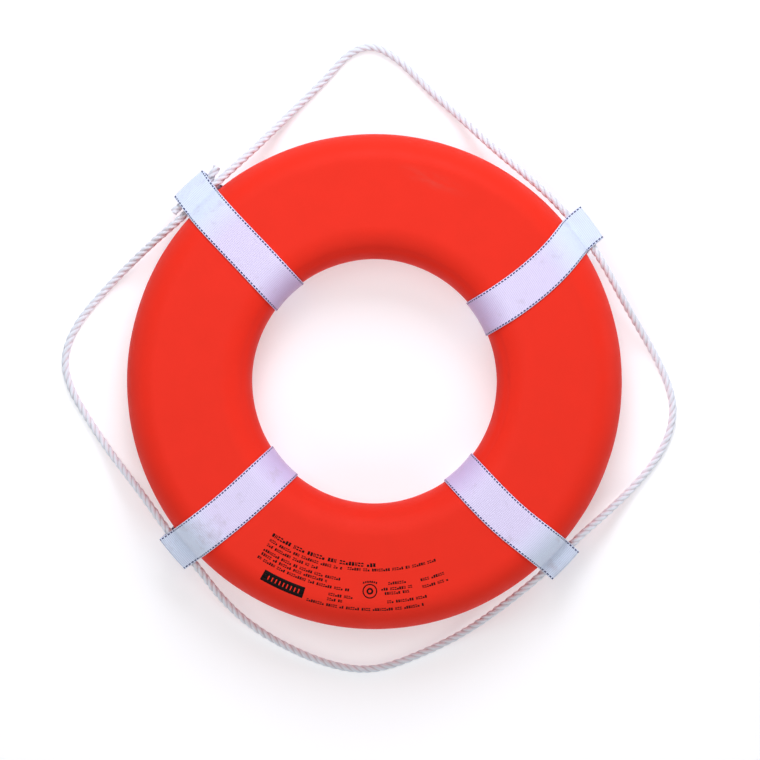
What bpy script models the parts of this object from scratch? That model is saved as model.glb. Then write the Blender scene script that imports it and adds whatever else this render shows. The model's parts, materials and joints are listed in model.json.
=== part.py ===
"""Ring lifebuoy, 24 inch: a foam ring in a vinyl skin, four webbing beckets and a laid grab line.

Metres, +Z up. The ring lies flat with its axis on Z, and it stands on the plane z = 0. Azimuths
are degrees anticlockwise from +X seen from above, and the front of the ring is towards -Y.
"""

from math import cos, pi, radians, sin, tau

import bmesh
import bpy
import numpy as np
from mathutils import Matrix, Vector
from mathutils.geometry import convex_hull_2d

# --- driving dimensions ------------------------------------------------------------------------
RING_DIAMETER = 0.6096  # 24 inches over the foam and its skin
BORE_DIAMETER = 0.3005
RING_THICKNESS = 0.1016  # 4 inches
OUTER_SHOULDER = 0.036  # how far the outer rounding reaches in from the rim
INNER_SHOULDER = 0.041  # how far the bore's rounding reaches out from the bore
STRAIGHT_WALL = 0.0136  # height of rim and bore that is left upright between the roundings
SKIN_WALL = 0.0015
FIT_GAP = 0.0003  # between pieces that touch on the real ring

BAND_WIDTH = 0.0485
BAND_THICKNESS = 0.0016
BAND_LAP = 0.050  # the strap's two ends lie over each other for this length
LAP_RAMP = 0.008  # the outer end steps down over the inner one in this length
CREASE_RADIUS = 0.0015  # inside the fold at the far end of the rope's pocket
CREASE_SPREAD = 60  # degrees of the fold on each side of its middle
BAND_DRIFT = 1.6  # a band leaves its bore azimuth slowly and gains most of its slant near the rim

THREAD_DIAMETER = 0.0006
STITCH_MARGIN = 0.006  # from the box stitch to the edges of the lap
STITCH_INSET = 0.004  # from the zigzag to the run around it
STITCH_TURNS = 4

ROPE_DIAMETER = 0.0095  # 3/8 inch three-strand line
SEIZING_WIDTH = 0.010
SEIZING_WALL = 0.0012
SEIZING_ROOM = 0.19  # rope diameters left inside the seizing, where the two ropes cross at a slant
SEIZED_BECKET = "rear_left"  # the rope's two ends are bound together in this pocket

# --- how finely round shapes are faceted -------------------------------------------------------
RING_FACETS = 56
SHOULDER_STEPS = 5
BAND_COLUMNS = 3
LAND_STEP = 0.030  # longest straight piece of a band
CREASE_STEPS = 4
SPLINE_STEPS = 16
ROPE_STEP = 0.017
HELD_ROPE_STEP = 0.012
ROPE_BEVEL_RESOLUTION = 2
BALL_RINGS = (80, 55, 28)  # degrees from a rope's end towards the pole of its half ball
THREAD_BEVEL_RESOLUTION = 1
SEIZING_STEPS = 6

# --- worked out from those ---------------------------------------------------------------------
RIM_RADIUS = RING_DIAMETER / 2
BORE_RADIUS = BORE_DIAMETER / 2
LAP_DEPTH = 2 * BAND_THICKNESS + 2 * FIT_GAP  # two plies and the gaps above them
RING_LIFT = LAP_DEPTH + FIT_GAP + THREAD_DIAMETER  # the ring stands on its stitched laps
MID_HEIGHT = RING_LIFT + RING_THICKNESS / 2
SHOULDER_HEIGHT = (RING_THICKNESS - STRAIGHT_WALL) / 2
ROPE_RADIUS = ROPE_DIAMETER / 2
SEIZING_SLACK = SEIZING_ROOM * ROPE_DIAMETER

# Each becket: azimuth at the bore, azimuth at the rim, and the slack in its pocket past the rope.
BECKETS = {
    "rear_right": (31.5, 36.0, 0.0110),
    "rear_left": (135.1, 133.5, 0.0070),
    "front_left": (221.7, 220.3, 0.0070),
    "front_right": (314.2, 316.1, 0.0068),
}

# The grab line, clockwise from its tail in the rear left pocket round to its other tail there.
# Each point has its azimuth, how far the rope's centre stands off the rim in rope diameters, its
# lift, which is 1 at the ring's middle height and 0 on the floor, and a rise in rope diameters
# where one end crosses over the other.
GRAB_LINE = (
    (139.9, 1.96, 1.00, 0.00),
    (137.2, 1.75, 1.00, 0.33),
    (135.2, 1.39, 1.00, 0.53),
    (133.5, 1.16, 1.00, 0.56),
    (131.6, 0.99, 1.00, 0.51),
    (129.0, 0.84, 1.00, 0.30),
    (124.0, 1.07, 0.94, 0.00),
    (115.5, 2.32, 0.55, 0.00),
    (107.0, 4.68, 0.10, 0.00),
    (98.0, 8.63, 0.00, 0.00),
    (93.2, 11.21, 0.00, 0.00),
    (90.3, 11.56, 0.00, 0.00),
    (87.4, 10.74, 0.00, 0.00),
    (80.0, 6.95, 0.00, 0.00),
    (72.0, 4.11, 0.16, 0.00),
    (64.0, 2.17, 0.62, 0.00),
    (56.0, 1.22, 0.93, 0.00),
    (46.5, 0.95, 1.00, 0.00),
    (36.0, 1.01, 1.00, 0.00),
    (29.0, 1.24, 0.95, 0.00),
    (20.0, 1.75, 0.72, 0.00),
    (10.5, 3.32, 0.25, 0.00),
    (0.5, 5.95, 0.00, 0.00),
    (-4.6, 6.95, 0.00, 0.00),
    (-8.6, 7.05, 0.00, 0.00),
    (-13.5, 6.42, 0.00, 0.00),
    (-23.0, 4.16, 0.10, 0.00),
    (-32.0, 2.11, 0.62, 0.00),
    (-38.5, 1.16, 0.94, 0.00),
    (-43.9, 0.97, 1.00, 0.00),
    (-50.0, 1.01, 0.98, 0.00),
    (-60.0, 1.45, 0.75, 0.00),
    (-71.0, 2.69, 0.22, 0.00),
    (-82.0, 4.21, 0.00, 0.00),
    (-91.0, 5.45, 0.00, 0.00),
    (-96.0, 5.43, 0.00, 0.00),
    (-106.0, 4.58, 0.00, 0.00),
    (-118.0, 3.37, 0.15, 0.00),
    (-128.0, 1.94, 0.65, 0.00),
    (-134.5, 1.14, 0.95, 0.00),
    (-139.7, 0.97, 1.00, 0.00),
    (-146.0, 0.97, 0.98, 0.00),
    (-155.0, 1.58, 0.72, 0.00),
    (-164.0, 3.32, 0.22, 0.00),
    (-174.0, 6.05, 0.00, 0.00),
    (-181.0, 8.05, 0.00, 0.00),
    (-184.5, 8.37, 0.00, 0.00),
    (-188.0, 8.00, 0.00, 0.00),
    (-196.0, 5.84, 0.00, 0.00),
    (-205.0, 3.37, 0.22, 0.00),
    (-213.5, 1.64, 0.72, 0.00),
    (-218.5, 0.91, 0.96, 0.00),
    (-222.8, 0.67, 1.00, -0.11),
    (-225.2, 0.97, 1.00, -0.51),
    (-226.5, 1.15, 1.00, -0.56),
    (-228.4, 1.39, 1.00, -0.53),
    (-230.4, 1.74, 1.00, -0.42),
    (-232.2, 2.06, 1.00, -0.11),
    (-233.8, 2.42, 1.00, -0.10),
)

# Azimuths between which each loop swings clear of the ring, clockwise.
LOOPS = {
    "rear": (121.0, 59.0),
    "right": (24.0, -33.0),
    "front": (-58.0, -129.0),
    "left": (-151.0, -213.0),
}

# What the ring holds between the loops, in the same order.
HELD_STRETCHES = ("rear_end", "through_rear_right", "through_front_right", "through_front_left", "left_end")


# --- scene -------------------------------------------------------------------------------------
def clear_scene():
    for item in list(bpy.data.objects):
        bpy.data.objects.remove(item, do_unlink=True)


def new_collection(name):
    collection = bpy.data.collections.new(name)
    bpy.context.scene.collection.children.link(collection)
    return collection


def principled(name, color, roughness, metallic=0.0):
    material = bpy.data.materials.new(name)
    material.use_nodes = True
    shader = material.node_tree.nodes["Principled BSDF"]
    shader.inputs["Base Color"].default_value = (*color, 1.0)
    shader.inputs["Roughness"].default_value = roughness
    shader.inputs["Metallic"].default_value = metallic
    return material


def add_object(name, data, material, collection):
    part = bpy.data.objects.new(name, data)
    data.materials.append(material)
    collection.objects.link(part)
    return part


# --- the ring's section ------------------------------------------------------------------------
def ring_section(inset=0.0):
    """Closed outline of the section as (radius, height), clockwise from the top of the outer wall."""
    half_wall = RING_THICKNESS / 2 - SHOULDER_HEIGHT
    points = []
    for quadrant in range(4):
        outside, above = quadrant in (0, 1), quadrant in (0, 3)
        reach = OUTER_SHOULDER if outside else INNER_SHOULDER
        centre_radius = RIM_RADIUS - reach if outside else BORE_RADIUS + reach
        centre_height = MID_HEIGHT + (half_wall if above else -half_wall)
        for step in range(SHOULDER_STEPS + 1):
            angle = radians(90 - 90 * (quadrant + step / SHOULDER_STEPS))
            radius = centre_radius + (reach - inset) * cos(angle)
            height = centre_height + (SHOULDER_HEIGHT - inset) * sin(angle)
            points.append((radius, height))
    return points


def half_section(inset, side):
    """The section's upper (side 1) or lower (side -1) half, from the bore to the rim."""
    cut = MID_HEIGHT + side * FIT_GAP / 2
    upper = [(r, z) for r, z in ring_section(inset) if z > MID_HEIGHT]
    upper.sort(key=lambda point: point[0])
    bore_wall, rim_wall = BORE_RADIUS + inset, RIM_RADIUS - inset
    turned = [(r, MID_HEIGHT + side * (z - MID_HEIGHT)) for r, z in upper]
    return [(bore_wall, cut), *turned, (rim_wall, cut)]


def turned_solid(name, profile, material, collection):
    """A closed (radius, height) profile, clockwise, swept once round the Z axis."""
    mesh = bpy.data.meshes.new(name)
    bm = bmesh.new()
    corners = [bm.verts.new((radius, 0.0, height)) for radius, height in profile]
    for first, second in zip(corners, corners[1:] + corners[:1]):
        bm.edges.new((first, second))
    bm.to_mesh(mesh)
    bm.free()
    part = add_object(name, mesh, material, collection)
    screw = part.modifiers.new("turn", "SCREW")
    screw.axis = "Z"
    screw.angle = tau
    screw.steps = screw.render_steps = RING_FACETS
    screw.use_merge_vertices = True
    screw.merge_threshold = 0.0001
    return part


def add_ring(collection):
    foam = principled("closed_cell_foam", (0.78, 0.74, 0.62), 0.9)
    vinyl = principled("dipped_vinyl", (0.87, 0.035, 0.018), 0.45)
    turned_solid("foam_core", ring_section(SKIN_WALL + FIT_GAP), foam, collection)
    for name, side in (("vinyl_skin_top", 1), ("vinyl_skin_bottom", -1)):
        outside = half_section(0.0, side)
        inside = half_section(SKIN_WALL, side)
        profile = outside + inside[::-1]
        turned_solid(name, profile[::side], vinyl, collection)


# --- webbing beckets ---------------------------------------------------------------------------
def band_azimuth(becket, radius):
    """The azimuth of a band's middle line where it is this far from the ring's axis."""
    at_bore, at_rim, _ = BECKETS[becket]
    share = (radius - BORE_RADIUS) / (RIM_RADIUS - BORE_RADIUS)
    return at_bore + (at_rim - at_bore) * min(max(share, 0.0), 1.0) ** BAND_DRIFT


def band_point(becket, radius, height, across):
    """A point on a band, this far across from its middle line and measured along the ring."""
    azimuth = radians(band_azimuth(becket, radius)) + across / radius
    return Vector((radius * cos(azimuth), radius * sin(azimuth), height))


def crease_radius(becket, line):
    """How far from the axis a band folds back, outside the rope that its pocket holds."""
    _, at_rim, slack = BECKETS[becket]
    radii = np.hypot(line[:, 0], line[:, 1])
    turned = (azimuths_of(line) - at_rim + 180) % 360 - 180
    inside = np.abs(np.radians(turned)) * radii < BAND_WIDTH / 2
    return radii[inside].max() + ROPE_RADIUS + slack


def crossing(line):
    """The centres of the line's two ends where they cross in their pocket, upper one first."""
    azimuths = azimuths_of(line)
    middle = BECKETS[SEIZED_BECKET][1]
    upper = Vector(line[int(np.argmin(abs(azimuths - middle)))])
    lower = Vector(line[int(np.argmin(abs(azimuths - middle + 360)))])
    return upper, lower


def around_seizing(line):
    """(radius, height) points just clear of the seizing, which the strap passes outside."""
    upper, lower = crossing(line)
    centre = (upper + lower) / 2
    radius = ROPE_RADIUS + SEIZING_SLACK + SEIZING_WALL + FIT_GAP
    outline = stadium((upper.z - lower.z) / 2, radius)
    return [(centre.xy.length + x, centre.z + y) for x, y in outline]


def pocket_outline(becket, line):
    """Closed (radius, height) line of a band's inner face: tight round the ring and the crease."""
    around_ring = ring_section(-FIT_GAP)
    fold_radius = crease_radius(becket, line) - CREASE_RADIUS
    fold = []
    for step in range(CREASE_STEPS + 1):
        angle = radians(CREASE_SPREAD * (1 - 2 * step / CREASE_STEPS))
        fold.append((fold_radius + CREASE_RADIUS * cos(angle), MID_HEIGHT + CREASE_RADIUS * sin(angle)))
    points = around_ring + fold
    if becket == SEIZED_BECKET:
        points += around_seizing(line)
    return [points[index] for index in convex_hull_2d([Vector(point) for point in points])]


def band_path(becket, line):
    """A band's inner face from its first end, under the ring, once round and over that end."""
    outline = pocket_outline(becket, line)
    lap_start = BORE_RADIUS + INNER_SHOULDER + LAP_RAMP
    bottom = RING_LIFT - FIT_GAP
    underneath = [index for index, point in enumerate(outline) if abs(point[1] - bottom) < FIT_GAP / 2]
    inner_end = min(underneath, key=lambda index: outline[index][0])
    ordered = outline[inner_end:] + outline[:inner_end]
    if ordered[1][1] > bottom + FIT_GAP / 2:
        ordered = ordered[:1] + ordered[:0:-1]
    outer_ply = bottom - BAND_THICKNESS - FIT_GAP
    path = [(lap_start, bottom), *ordered[1:], ordered[0]]
    path += [(lap_start - LAP_RAMP / 2, (bottom + outer_ply) / 2), (lap_start, outer_ply)]
    path.append((lap_start + BAND_LAP, outer_ply))
    return split_long(path, LAND_STEP)


def split_long(path, longest):
    """The same line with extra points wherever two of them are further apart than this."""
    result = [path[0]]
    for first, second in zip(path, path[1:]):
        pieces = int(np.hypot(second[0] - first[0], second[1] - first[1]) / longest) + 1
        for piece in range(1, pieces + 1):
            share = piece / pieces
            result.append(tuple(a + (b - a) * share for a, b in zip(first, second)))
    return result


def add_band(becket, line, material, collection):
    path = band_path(becket, line)
    bm = bmesh.new()
    bmesh.ops.create_grid(bm, x_segments=len(path) - 1, y_segments=BAND_COLUMNS, size=1.0)
    for vertex in bm.verts:
        station = round((vertex.co.x + 1) / 2 * (len(path) - 1))
        across = vertex.co.y * BAND_WIDTH / 2
        vertex.co = band_point(becket, *path[station], across)
    mesh = bpy.data.meshes.new(f"becket_{becket}")
    bm.to_mesh(mesh)
    bm.free()
    part = add_object(mesh.name, mesh, material, collection)
    wall = part.modifiers.new("webbing", "SOLIDIFY")
    wall.thickness = BAND_THICKNESS
    wall.offset = -1.0
    wall.use_even_offset = True
    return part


def poly_tube(name, points, diameter, resolution, material, collection, swell=None):
    """A round tube through the points, its radius multiplied at each by its value in swell."""
    curve = bpy.data.curves.new(name, "CURVE")
    curve.dimensions = "3D"
    curve.bevel_depth = diameter / 2
    curve.bevel_resolution = resolution
    curve.use_fill_caps = True
    spline = curve.splines.new("POLY")
    spline.points.add(len(points) - 1)
    for index, point in enumerate(points):
        spline.points[index].co = (*point, 1.0)
        spline.points[index].radius = swell[index] if swell is not None else 1.0
    return add_object(name, curve, material, collection)


def add_stitching(becket, material, collection):
    """One run of thread on the outer face of the lap: round its edges, then zigzag inside."""
    height = THREAD_DIAMETER / 2
    start = BORE_RADIUS + INNER_SHOULDER + LAP_RAMP + STITCH_MARGIN
    end = start + BAND_LAP - 2 * STITCH_MARGIN
    side = BAND_WIDTH / 2 - STITCH_MARGIN
    inner = side - STITCH_INSET
    run = [(start, -side), (end, -side), (end, side), (start, side), (start, -inner)]
    for turn in range(1, STITCH_TURNS + 1):
        along = start + (end - STITCH_INSET - start) * turn / STITCH_TURNS
        run.append((along, inner if turn % 2 else -inner))
    points = [band_point(becket, radius, height, across) for radius, across in run]
    name = f"becket_stitching_{becket}"
    poly_tube(name, points, THREAD_DIAMETER, THREAD_BEVEL_RESOLUTION, material, collection)


def add_beckets(line, collection):
    webbing = principled("polyester_webbing", (0.80, 0.79, 0.90), 0.85)
    thread = principled("bonded_thread", (0.85, 0.85, 0.88), 0.6)
    for becket in BECKETS:
        add_band(becket, line, webbing, collection)
        add_stitching(becket, thread, collection)


# --- grab line ---------------------------------------------------------------------------------
def route_point(azimuth, stand_off, lift, rise):
    radius = RIM_RADIUS + stand_off * ROPE_DIAMETER
    height = ROPE_RADIUS + lift * (MID_HEIGHT - ROPE_RADIUS) + rise * ROPE_DIAMETER
    angle = radians(azimuth)
    return radius * cos(angle), radius * sin(angle), height


def smooth_line(points):
    """Points of the natural cubic spline through the given ones, kept up on the floor."""
    knots = np.array(points)
    gaps = np.linalg.norm(np.diff(knots, axis=0), axis=1)
    system = np.eye(len(knots))
    bend = np.zeros_like(knots)
    for i in range(1, len(knots) - 1):
        system[i, i - 1 : i + 2] = gaps[i - 1], 2 * (gaps[i - 1] + gaps[i]), gaps[i]
        before = (knots[i] - knots[i - 1]) / gaps[i - 1]
        after = (knots[i + 1] - knots[i]) / gaps[i]
        bend[i] = 6 * (after - before)
    bend = np.linalg.solve(system, bend)
    line = [knots[0]]
    for i, gap in enumerate(gaps):
        for step in range(1, SPLINE_STEPS + 1):
            b = step / SPLINE_STEPS
            a = 1 - b
            curved = (a**3 - a) * bend[i] + (b**3 - b) * bend[i + 1]
            line.append(a * knots[i] + b * knots[i + 1] + curved * gap**2 / 6)
    line = np.array(line)
    line[:, 2] = np.maximum(line[:, 2], ROPE_RADIUS)
    return line


def azimuths_of(line):
    """The azimuth of each point of the grab line, running on past a whole turn."""
    azimuths = np.degrees(np.unwrap(np.arctan2(line[:, 1], line[:, 0])))
    return azimuths + 360 * round((GRAB_LINE[0][0] - azimuths[0]) / 360)


def even_points(piece, step, trim_start=0.0, trim_end=0.0):
    """Points about a step apart along a piece of the line, less what is trimmed off its ends."""
    along = np.r_[0.0, np.cumsum(np.linalg.norm(np.diff(piece, axis=0), axis=1))]
    length = along[-1] - trim_start - trim_end
    places = np.linspace(trim_start, along[-1] - trim_end, max(2, round(length / step) + 1))
    return np.column_stack([np.interp(places, along, piece[:, axis]) for axis in range(3)])


def ball_end(tip, inner):
    """Points and swells of a half ball past a tube's tip, from its far end back to the tip."""
    away = (tip - inner) / np.linalg.norm(tip - inner)
    angles = [radians(ring) for ring in BALL_RINGS]
    points = [tip + away * ROPE_RADIUS * sin(angle) for angle in angles]
    return points, [cos(angle) for angle in angles]


def add_loop(name, piece, material, collection):
    """A loop that swings: its ball ends are centred on its hinge line, so they turn in place."""
    points = even_points(piece, ROPE_STEP)
    first, first_swell = ball_end(points[0], points[1])
    last, last_swell = ball_end(points[-1], points[-2])
    swell = [*first_swell, *[1.0] * len(points), *last_swell[::-1]]
    points = [*first, *points, *last[::-1]]
    poly_tube(name, points, ROPE_DIAMETER, ROPE_BEVEL_RESOLUTION, material, collection, swell)


def add_grab_line(line, collection):
    """The one rope, in pieces: each loop that swings, and each stretch that the ring holds."""
    rope = principled("laid_polypropylene_rope", (0.86, 0.86, 0.90), 0.7)
    azimuths = azimuths_of(line)
    cuts = [int(np.argmin(abs(azimuths - cut))) for loop in LOOPS.values() for cut in loop]
    for name, first, last in zip(LOOPS, cuts[::2], cuts[1::2]):
        add_loop(f"grab_line_{name}_loop", line[first : last + 1], rope, collection)
    clear = ROPE_RADIUS + FIT_GAP
    starts, ends = [0, *cuts[1::2]], [*cuts[::2], len(line) - 1]
    for name, first, last in zip(HELD_STRETCHES, starts, ends):
        trims = (clear if first else 0.0, clear if last < len(line) - 1 else 0.0)
        points = even_points(line[first : last + 1], HELD_ROPE_STEP, *trims)
        poly_tube(f"grab_line_{name}", points, ROPE_DIAMETER, ROPE_BEVEL_RESOLUTION, rope, collection)


def stadium(half_height, radius):
    """Outline of two circles of this radius, this far above and below the middle, and their sides."""
    points = []
    for step in range(2 * SEIZING_STEPS + 2):
        upper = step <= SEIZING_STEPS
        angle = pi * (step if upper else step - 1) / SEIZING_STEPS
        points.append((radius * cos(angle), radius * sin(angle) + (half_height if upper else -half_height)))
    return points


def add_end_seizing(line, collection):
    """The twine binding where the two ends of the line cross in their pocket."""
    twine = principled("tarred_twine", (0.55, 0.52, 0.46), 0.85)
    upper, lower = crossing(line)
    half_height = (upper.z - lower.z) / 2
    inside = ROPE_RADIUS + SEIZING_SLACK
    curve = bpy.data.curves.new("end_seizing", "CURVE")
    curve.dimensions = "2D"
    curve.fill_mode = "BOTH"
    curve.extrude = SEIZING_WIDTH / 2
    for radius in (inside + SEIZING_WALL, inside):
        outline = stadium(half_height, radius)
        spline = curve.splines.new("POLY")
        spline.points.add(len(outline) - 1)
        spline.use_cyclic_u = True
        for target, (x, y) in zip(spline.points, outline):
            target.co = (x, y, 0.0, 1.0)
    part = add_object("end_seizing", curve, twine, collection)
    centre = (upper + lower) / 2
    outward = Vector((centre.x, centre.y, 0)).normalized()
    up = Vector((0, 0, 1))
    facing = Matrix((outward, up, outward.cross(up))).transposed().to_4x4()
    part.matrix_world = Matrix.Translation(centre) @ facing


def main():
    clear_scene()
    collection = new_collection("ring_lifebuoy")
    line = smooth_line([route_point(*entry) for entry in GRAB_LINE])
    add_ring(collection)
    add_beckets(line, collection)
    add_grab_line(line, collection)
    add_end_seizing(line, collection)


main()
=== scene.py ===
"""Ring lifebuoy: the looks of a foam ring in dipped vinyl, four webbing beckets and a laid grab line.

Metres, +Z up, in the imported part's own frame: the ring lies flat with its axis on Z. Azimuths are
degrees anticlockwise from +X seen from above, and the front of the ring is towards -Y.
"""

from __future__ import annotations

import json
import logging
from dataclasses import dataclass, field
from enum import Enum
from math import atan2, cos, degrees, exp, hypot, pi, radians, sin, sqrt, tau
from typing import Any, Iterable, Optional, Sequence

import bmesh
import bpy
import numpy as np
from mathutils import Matrix, Vector, noise
from mathutils.geometry import interpolate_bezier
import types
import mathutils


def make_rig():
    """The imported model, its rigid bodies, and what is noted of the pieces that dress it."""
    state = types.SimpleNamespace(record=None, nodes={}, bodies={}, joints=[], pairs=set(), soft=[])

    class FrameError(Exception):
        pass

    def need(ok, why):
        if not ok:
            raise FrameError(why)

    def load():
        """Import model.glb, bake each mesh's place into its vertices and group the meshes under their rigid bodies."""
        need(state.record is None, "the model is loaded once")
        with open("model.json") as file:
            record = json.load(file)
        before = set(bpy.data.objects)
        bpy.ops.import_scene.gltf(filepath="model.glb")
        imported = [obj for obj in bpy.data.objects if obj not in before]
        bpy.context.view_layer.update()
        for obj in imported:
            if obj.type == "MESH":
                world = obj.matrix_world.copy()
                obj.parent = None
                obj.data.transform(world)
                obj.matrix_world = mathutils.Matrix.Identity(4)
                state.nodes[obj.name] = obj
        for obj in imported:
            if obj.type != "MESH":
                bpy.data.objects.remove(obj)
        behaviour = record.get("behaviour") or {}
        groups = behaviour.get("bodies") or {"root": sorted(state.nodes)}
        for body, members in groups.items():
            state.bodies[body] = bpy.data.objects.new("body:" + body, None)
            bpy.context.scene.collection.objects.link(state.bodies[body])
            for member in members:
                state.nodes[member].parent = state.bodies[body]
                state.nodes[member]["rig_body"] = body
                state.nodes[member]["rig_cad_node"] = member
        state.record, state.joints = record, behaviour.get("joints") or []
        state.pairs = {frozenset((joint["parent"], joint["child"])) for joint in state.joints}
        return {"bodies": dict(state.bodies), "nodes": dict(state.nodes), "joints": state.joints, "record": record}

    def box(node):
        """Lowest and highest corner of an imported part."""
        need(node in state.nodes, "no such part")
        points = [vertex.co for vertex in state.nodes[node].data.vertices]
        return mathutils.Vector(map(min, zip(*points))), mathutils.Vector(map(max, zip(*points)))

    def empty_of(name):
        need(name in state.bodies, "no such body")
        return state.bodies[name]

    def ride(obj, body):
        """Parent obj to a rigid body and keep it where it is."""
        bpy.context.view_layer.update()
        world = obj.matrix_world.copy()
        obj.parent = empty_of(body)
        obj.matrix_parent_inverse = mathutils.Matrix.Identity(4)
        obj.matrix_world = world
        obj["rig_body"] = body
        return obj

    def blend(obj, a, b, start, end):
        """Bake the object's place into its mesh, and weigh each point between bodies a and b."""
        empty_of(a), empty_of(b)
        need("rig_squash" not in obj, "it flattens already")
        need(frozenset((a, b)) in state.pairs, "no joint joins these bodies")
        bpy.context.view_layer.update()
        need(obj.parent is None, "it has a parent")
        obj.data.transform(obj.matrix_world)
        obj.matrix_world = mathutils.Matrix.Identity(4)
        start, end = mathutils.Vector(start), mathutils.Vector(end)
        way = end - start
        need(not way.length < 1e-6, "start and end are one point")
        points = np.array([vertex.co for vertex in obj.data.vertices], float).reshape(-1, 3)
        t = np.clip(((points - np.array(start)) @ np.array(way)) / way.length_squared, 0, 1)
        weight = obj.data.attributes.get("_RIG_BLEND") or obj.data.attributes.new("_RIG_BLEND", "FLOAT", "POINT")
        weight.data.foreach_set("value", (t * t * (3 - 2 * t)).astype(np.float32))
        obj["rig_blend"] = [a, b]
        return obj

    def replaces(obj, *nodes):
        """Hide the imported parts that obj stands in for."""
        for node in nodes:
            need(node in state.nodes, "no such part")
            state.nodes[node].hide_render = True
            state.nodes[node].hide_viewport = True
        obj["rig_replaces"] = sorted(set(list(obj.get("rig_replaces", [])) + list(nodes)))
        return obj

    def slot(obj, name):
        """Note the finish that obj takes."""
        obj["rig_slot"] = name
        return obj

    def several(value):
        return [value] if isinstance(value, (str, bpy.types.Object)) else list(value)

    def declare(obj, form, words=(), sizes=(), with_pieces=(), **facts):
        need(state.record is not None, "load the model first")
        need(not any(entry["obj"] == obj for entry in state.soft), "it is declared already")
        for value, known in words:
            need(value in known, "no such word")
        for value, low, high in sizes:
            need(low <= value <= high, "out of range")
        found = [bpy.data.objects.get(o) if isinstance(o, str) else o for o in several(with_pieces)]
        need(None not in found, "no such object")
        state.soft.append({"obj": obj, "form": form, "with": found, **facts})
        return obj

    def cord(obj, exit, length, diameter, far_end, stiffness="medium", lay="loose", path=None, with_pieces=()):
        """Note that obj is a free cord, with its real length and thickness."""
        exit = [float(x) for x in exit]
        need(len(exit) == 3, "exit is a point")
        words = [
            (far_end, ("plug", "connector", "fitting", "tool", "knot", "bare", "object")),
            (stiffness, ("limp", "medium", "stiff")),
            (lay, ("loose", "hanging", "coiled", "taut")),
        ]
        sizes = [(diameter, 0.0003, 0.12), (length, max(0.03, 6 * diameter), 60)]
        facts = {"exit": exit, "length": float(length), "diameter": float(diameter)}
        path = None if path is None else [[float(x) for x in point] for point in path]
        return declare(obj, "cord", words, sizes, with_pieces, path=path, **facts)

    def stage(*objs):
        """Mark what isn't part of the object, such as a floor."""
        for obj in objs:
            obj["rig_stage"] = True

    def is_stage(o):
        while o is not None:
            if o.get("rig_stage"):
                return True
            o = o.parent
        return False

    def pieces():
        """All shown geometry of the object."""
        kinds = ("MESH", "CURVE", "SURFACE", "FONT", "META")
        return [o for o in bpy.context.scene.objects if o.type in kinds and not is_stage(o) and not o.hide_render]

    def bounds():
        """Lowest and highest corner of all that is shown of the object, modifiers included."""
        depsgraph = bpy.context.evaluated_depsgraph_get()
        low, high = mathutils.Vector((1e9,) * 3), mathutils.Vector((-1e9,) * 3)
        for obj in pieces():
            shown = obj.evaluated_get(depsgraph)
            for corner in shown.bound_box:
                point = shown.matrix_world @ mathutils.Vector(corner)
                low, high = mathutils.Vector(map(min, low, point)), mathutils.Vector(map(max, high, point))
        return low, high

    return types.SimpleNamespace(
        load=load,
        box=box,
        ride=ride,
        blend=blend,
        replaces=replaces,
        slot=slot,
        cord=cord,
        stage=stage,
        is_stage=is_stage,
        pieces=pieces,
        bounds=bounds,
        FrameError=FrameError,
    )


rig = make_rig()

LOG = logging.getLogger("ring_lifebuoy")
MM = 0.001

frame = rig.load()
CAD_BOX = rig.bounds()


# --- small tools ---------------------------------------------------------------------------------
def linear(hex_colour: str) -> tuple[float, float, float, float]:
    """Turn an sRGB hex colour into linear light.

    Args:
        hex_colour: The colour as "#RRGGBB".

    Returns:
        Linear red, green and blue, and an alpha of 1.
    """
    channels = [int(hex_colour[place : place + 2], 16) / 255 for place in (1, 3, 5)]
    red, green, blue = [c / 12.92 if c <= 0.04045 else ((c + 0.055) / 1.055) ** 2.4 for c in channels]
    return red, green, blue, 1.0


def add_node(
    tree: bpy.types.NodeTree,
    kind: str,
    settings: Optional[dict[Any, Any]] = None,
    links: Optional[dict[Any, bpy.types.NodeSocket]] = None,
) -> bpy.types.Node:
    """Add a shader node with its settings and links.

    Args:
        tree: The node tree that it goes into.
        kind: The node's type, without the leading ShaderNode.
        settings: Attributes by name, and values of unlinked inputs by name or number.
        links: The sockets that feed its inputs, by the input's name or number.

    Returns:
        The new node.
    """
    node = tree.nodes.new(f"ShaderNode{kind}")
    for key, value in (settings or {}).items():
        if isinstance(key, str) and hasattr(node, key):
            setattr(node, key, value)
        else:
            node.inputs[key].default_value = value
    for key, socket in (links or {}).items():
        tree.links.new(socket, node.inputs[key])
    return node


def new_material(name: str) -> tuple[bpy.types.Material, bpy.types.NodeTree, bpy.types.Node]:
    """Start a material.

    Args:
        name: What the material is.

    Returns:
        The material, its node tree and its Principled BSDF.
    """
    material = bpy.data.materials.new(name)
    material.use_nodes = True
    return material, material.node_tree, material.node_tree.nodes["Principled BSDF"]


def add_piece(name: str, mesh: bmesh.types.BMesh, material: bpy.types.Material) -> bpy.types.Object:
    """Make a smooth-shaded piece from a finished bmesh.

    Args:
        name: The piece's name.
        mesh: Its mesh in world space, which this frees.
        material: Its finish.

    Returns:
        The new object, at the origin.
    """
    data = bpy.data.meshes.new(name)
    mesh.to_mesh(data)
    mesh.free()
    data.materials.append(material)
    data.shade_smooth()
    piece = bpy.data.objects.new(name, data)
    bpy.context.scene.collection.objects.link(piece)
    return piece


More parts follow.
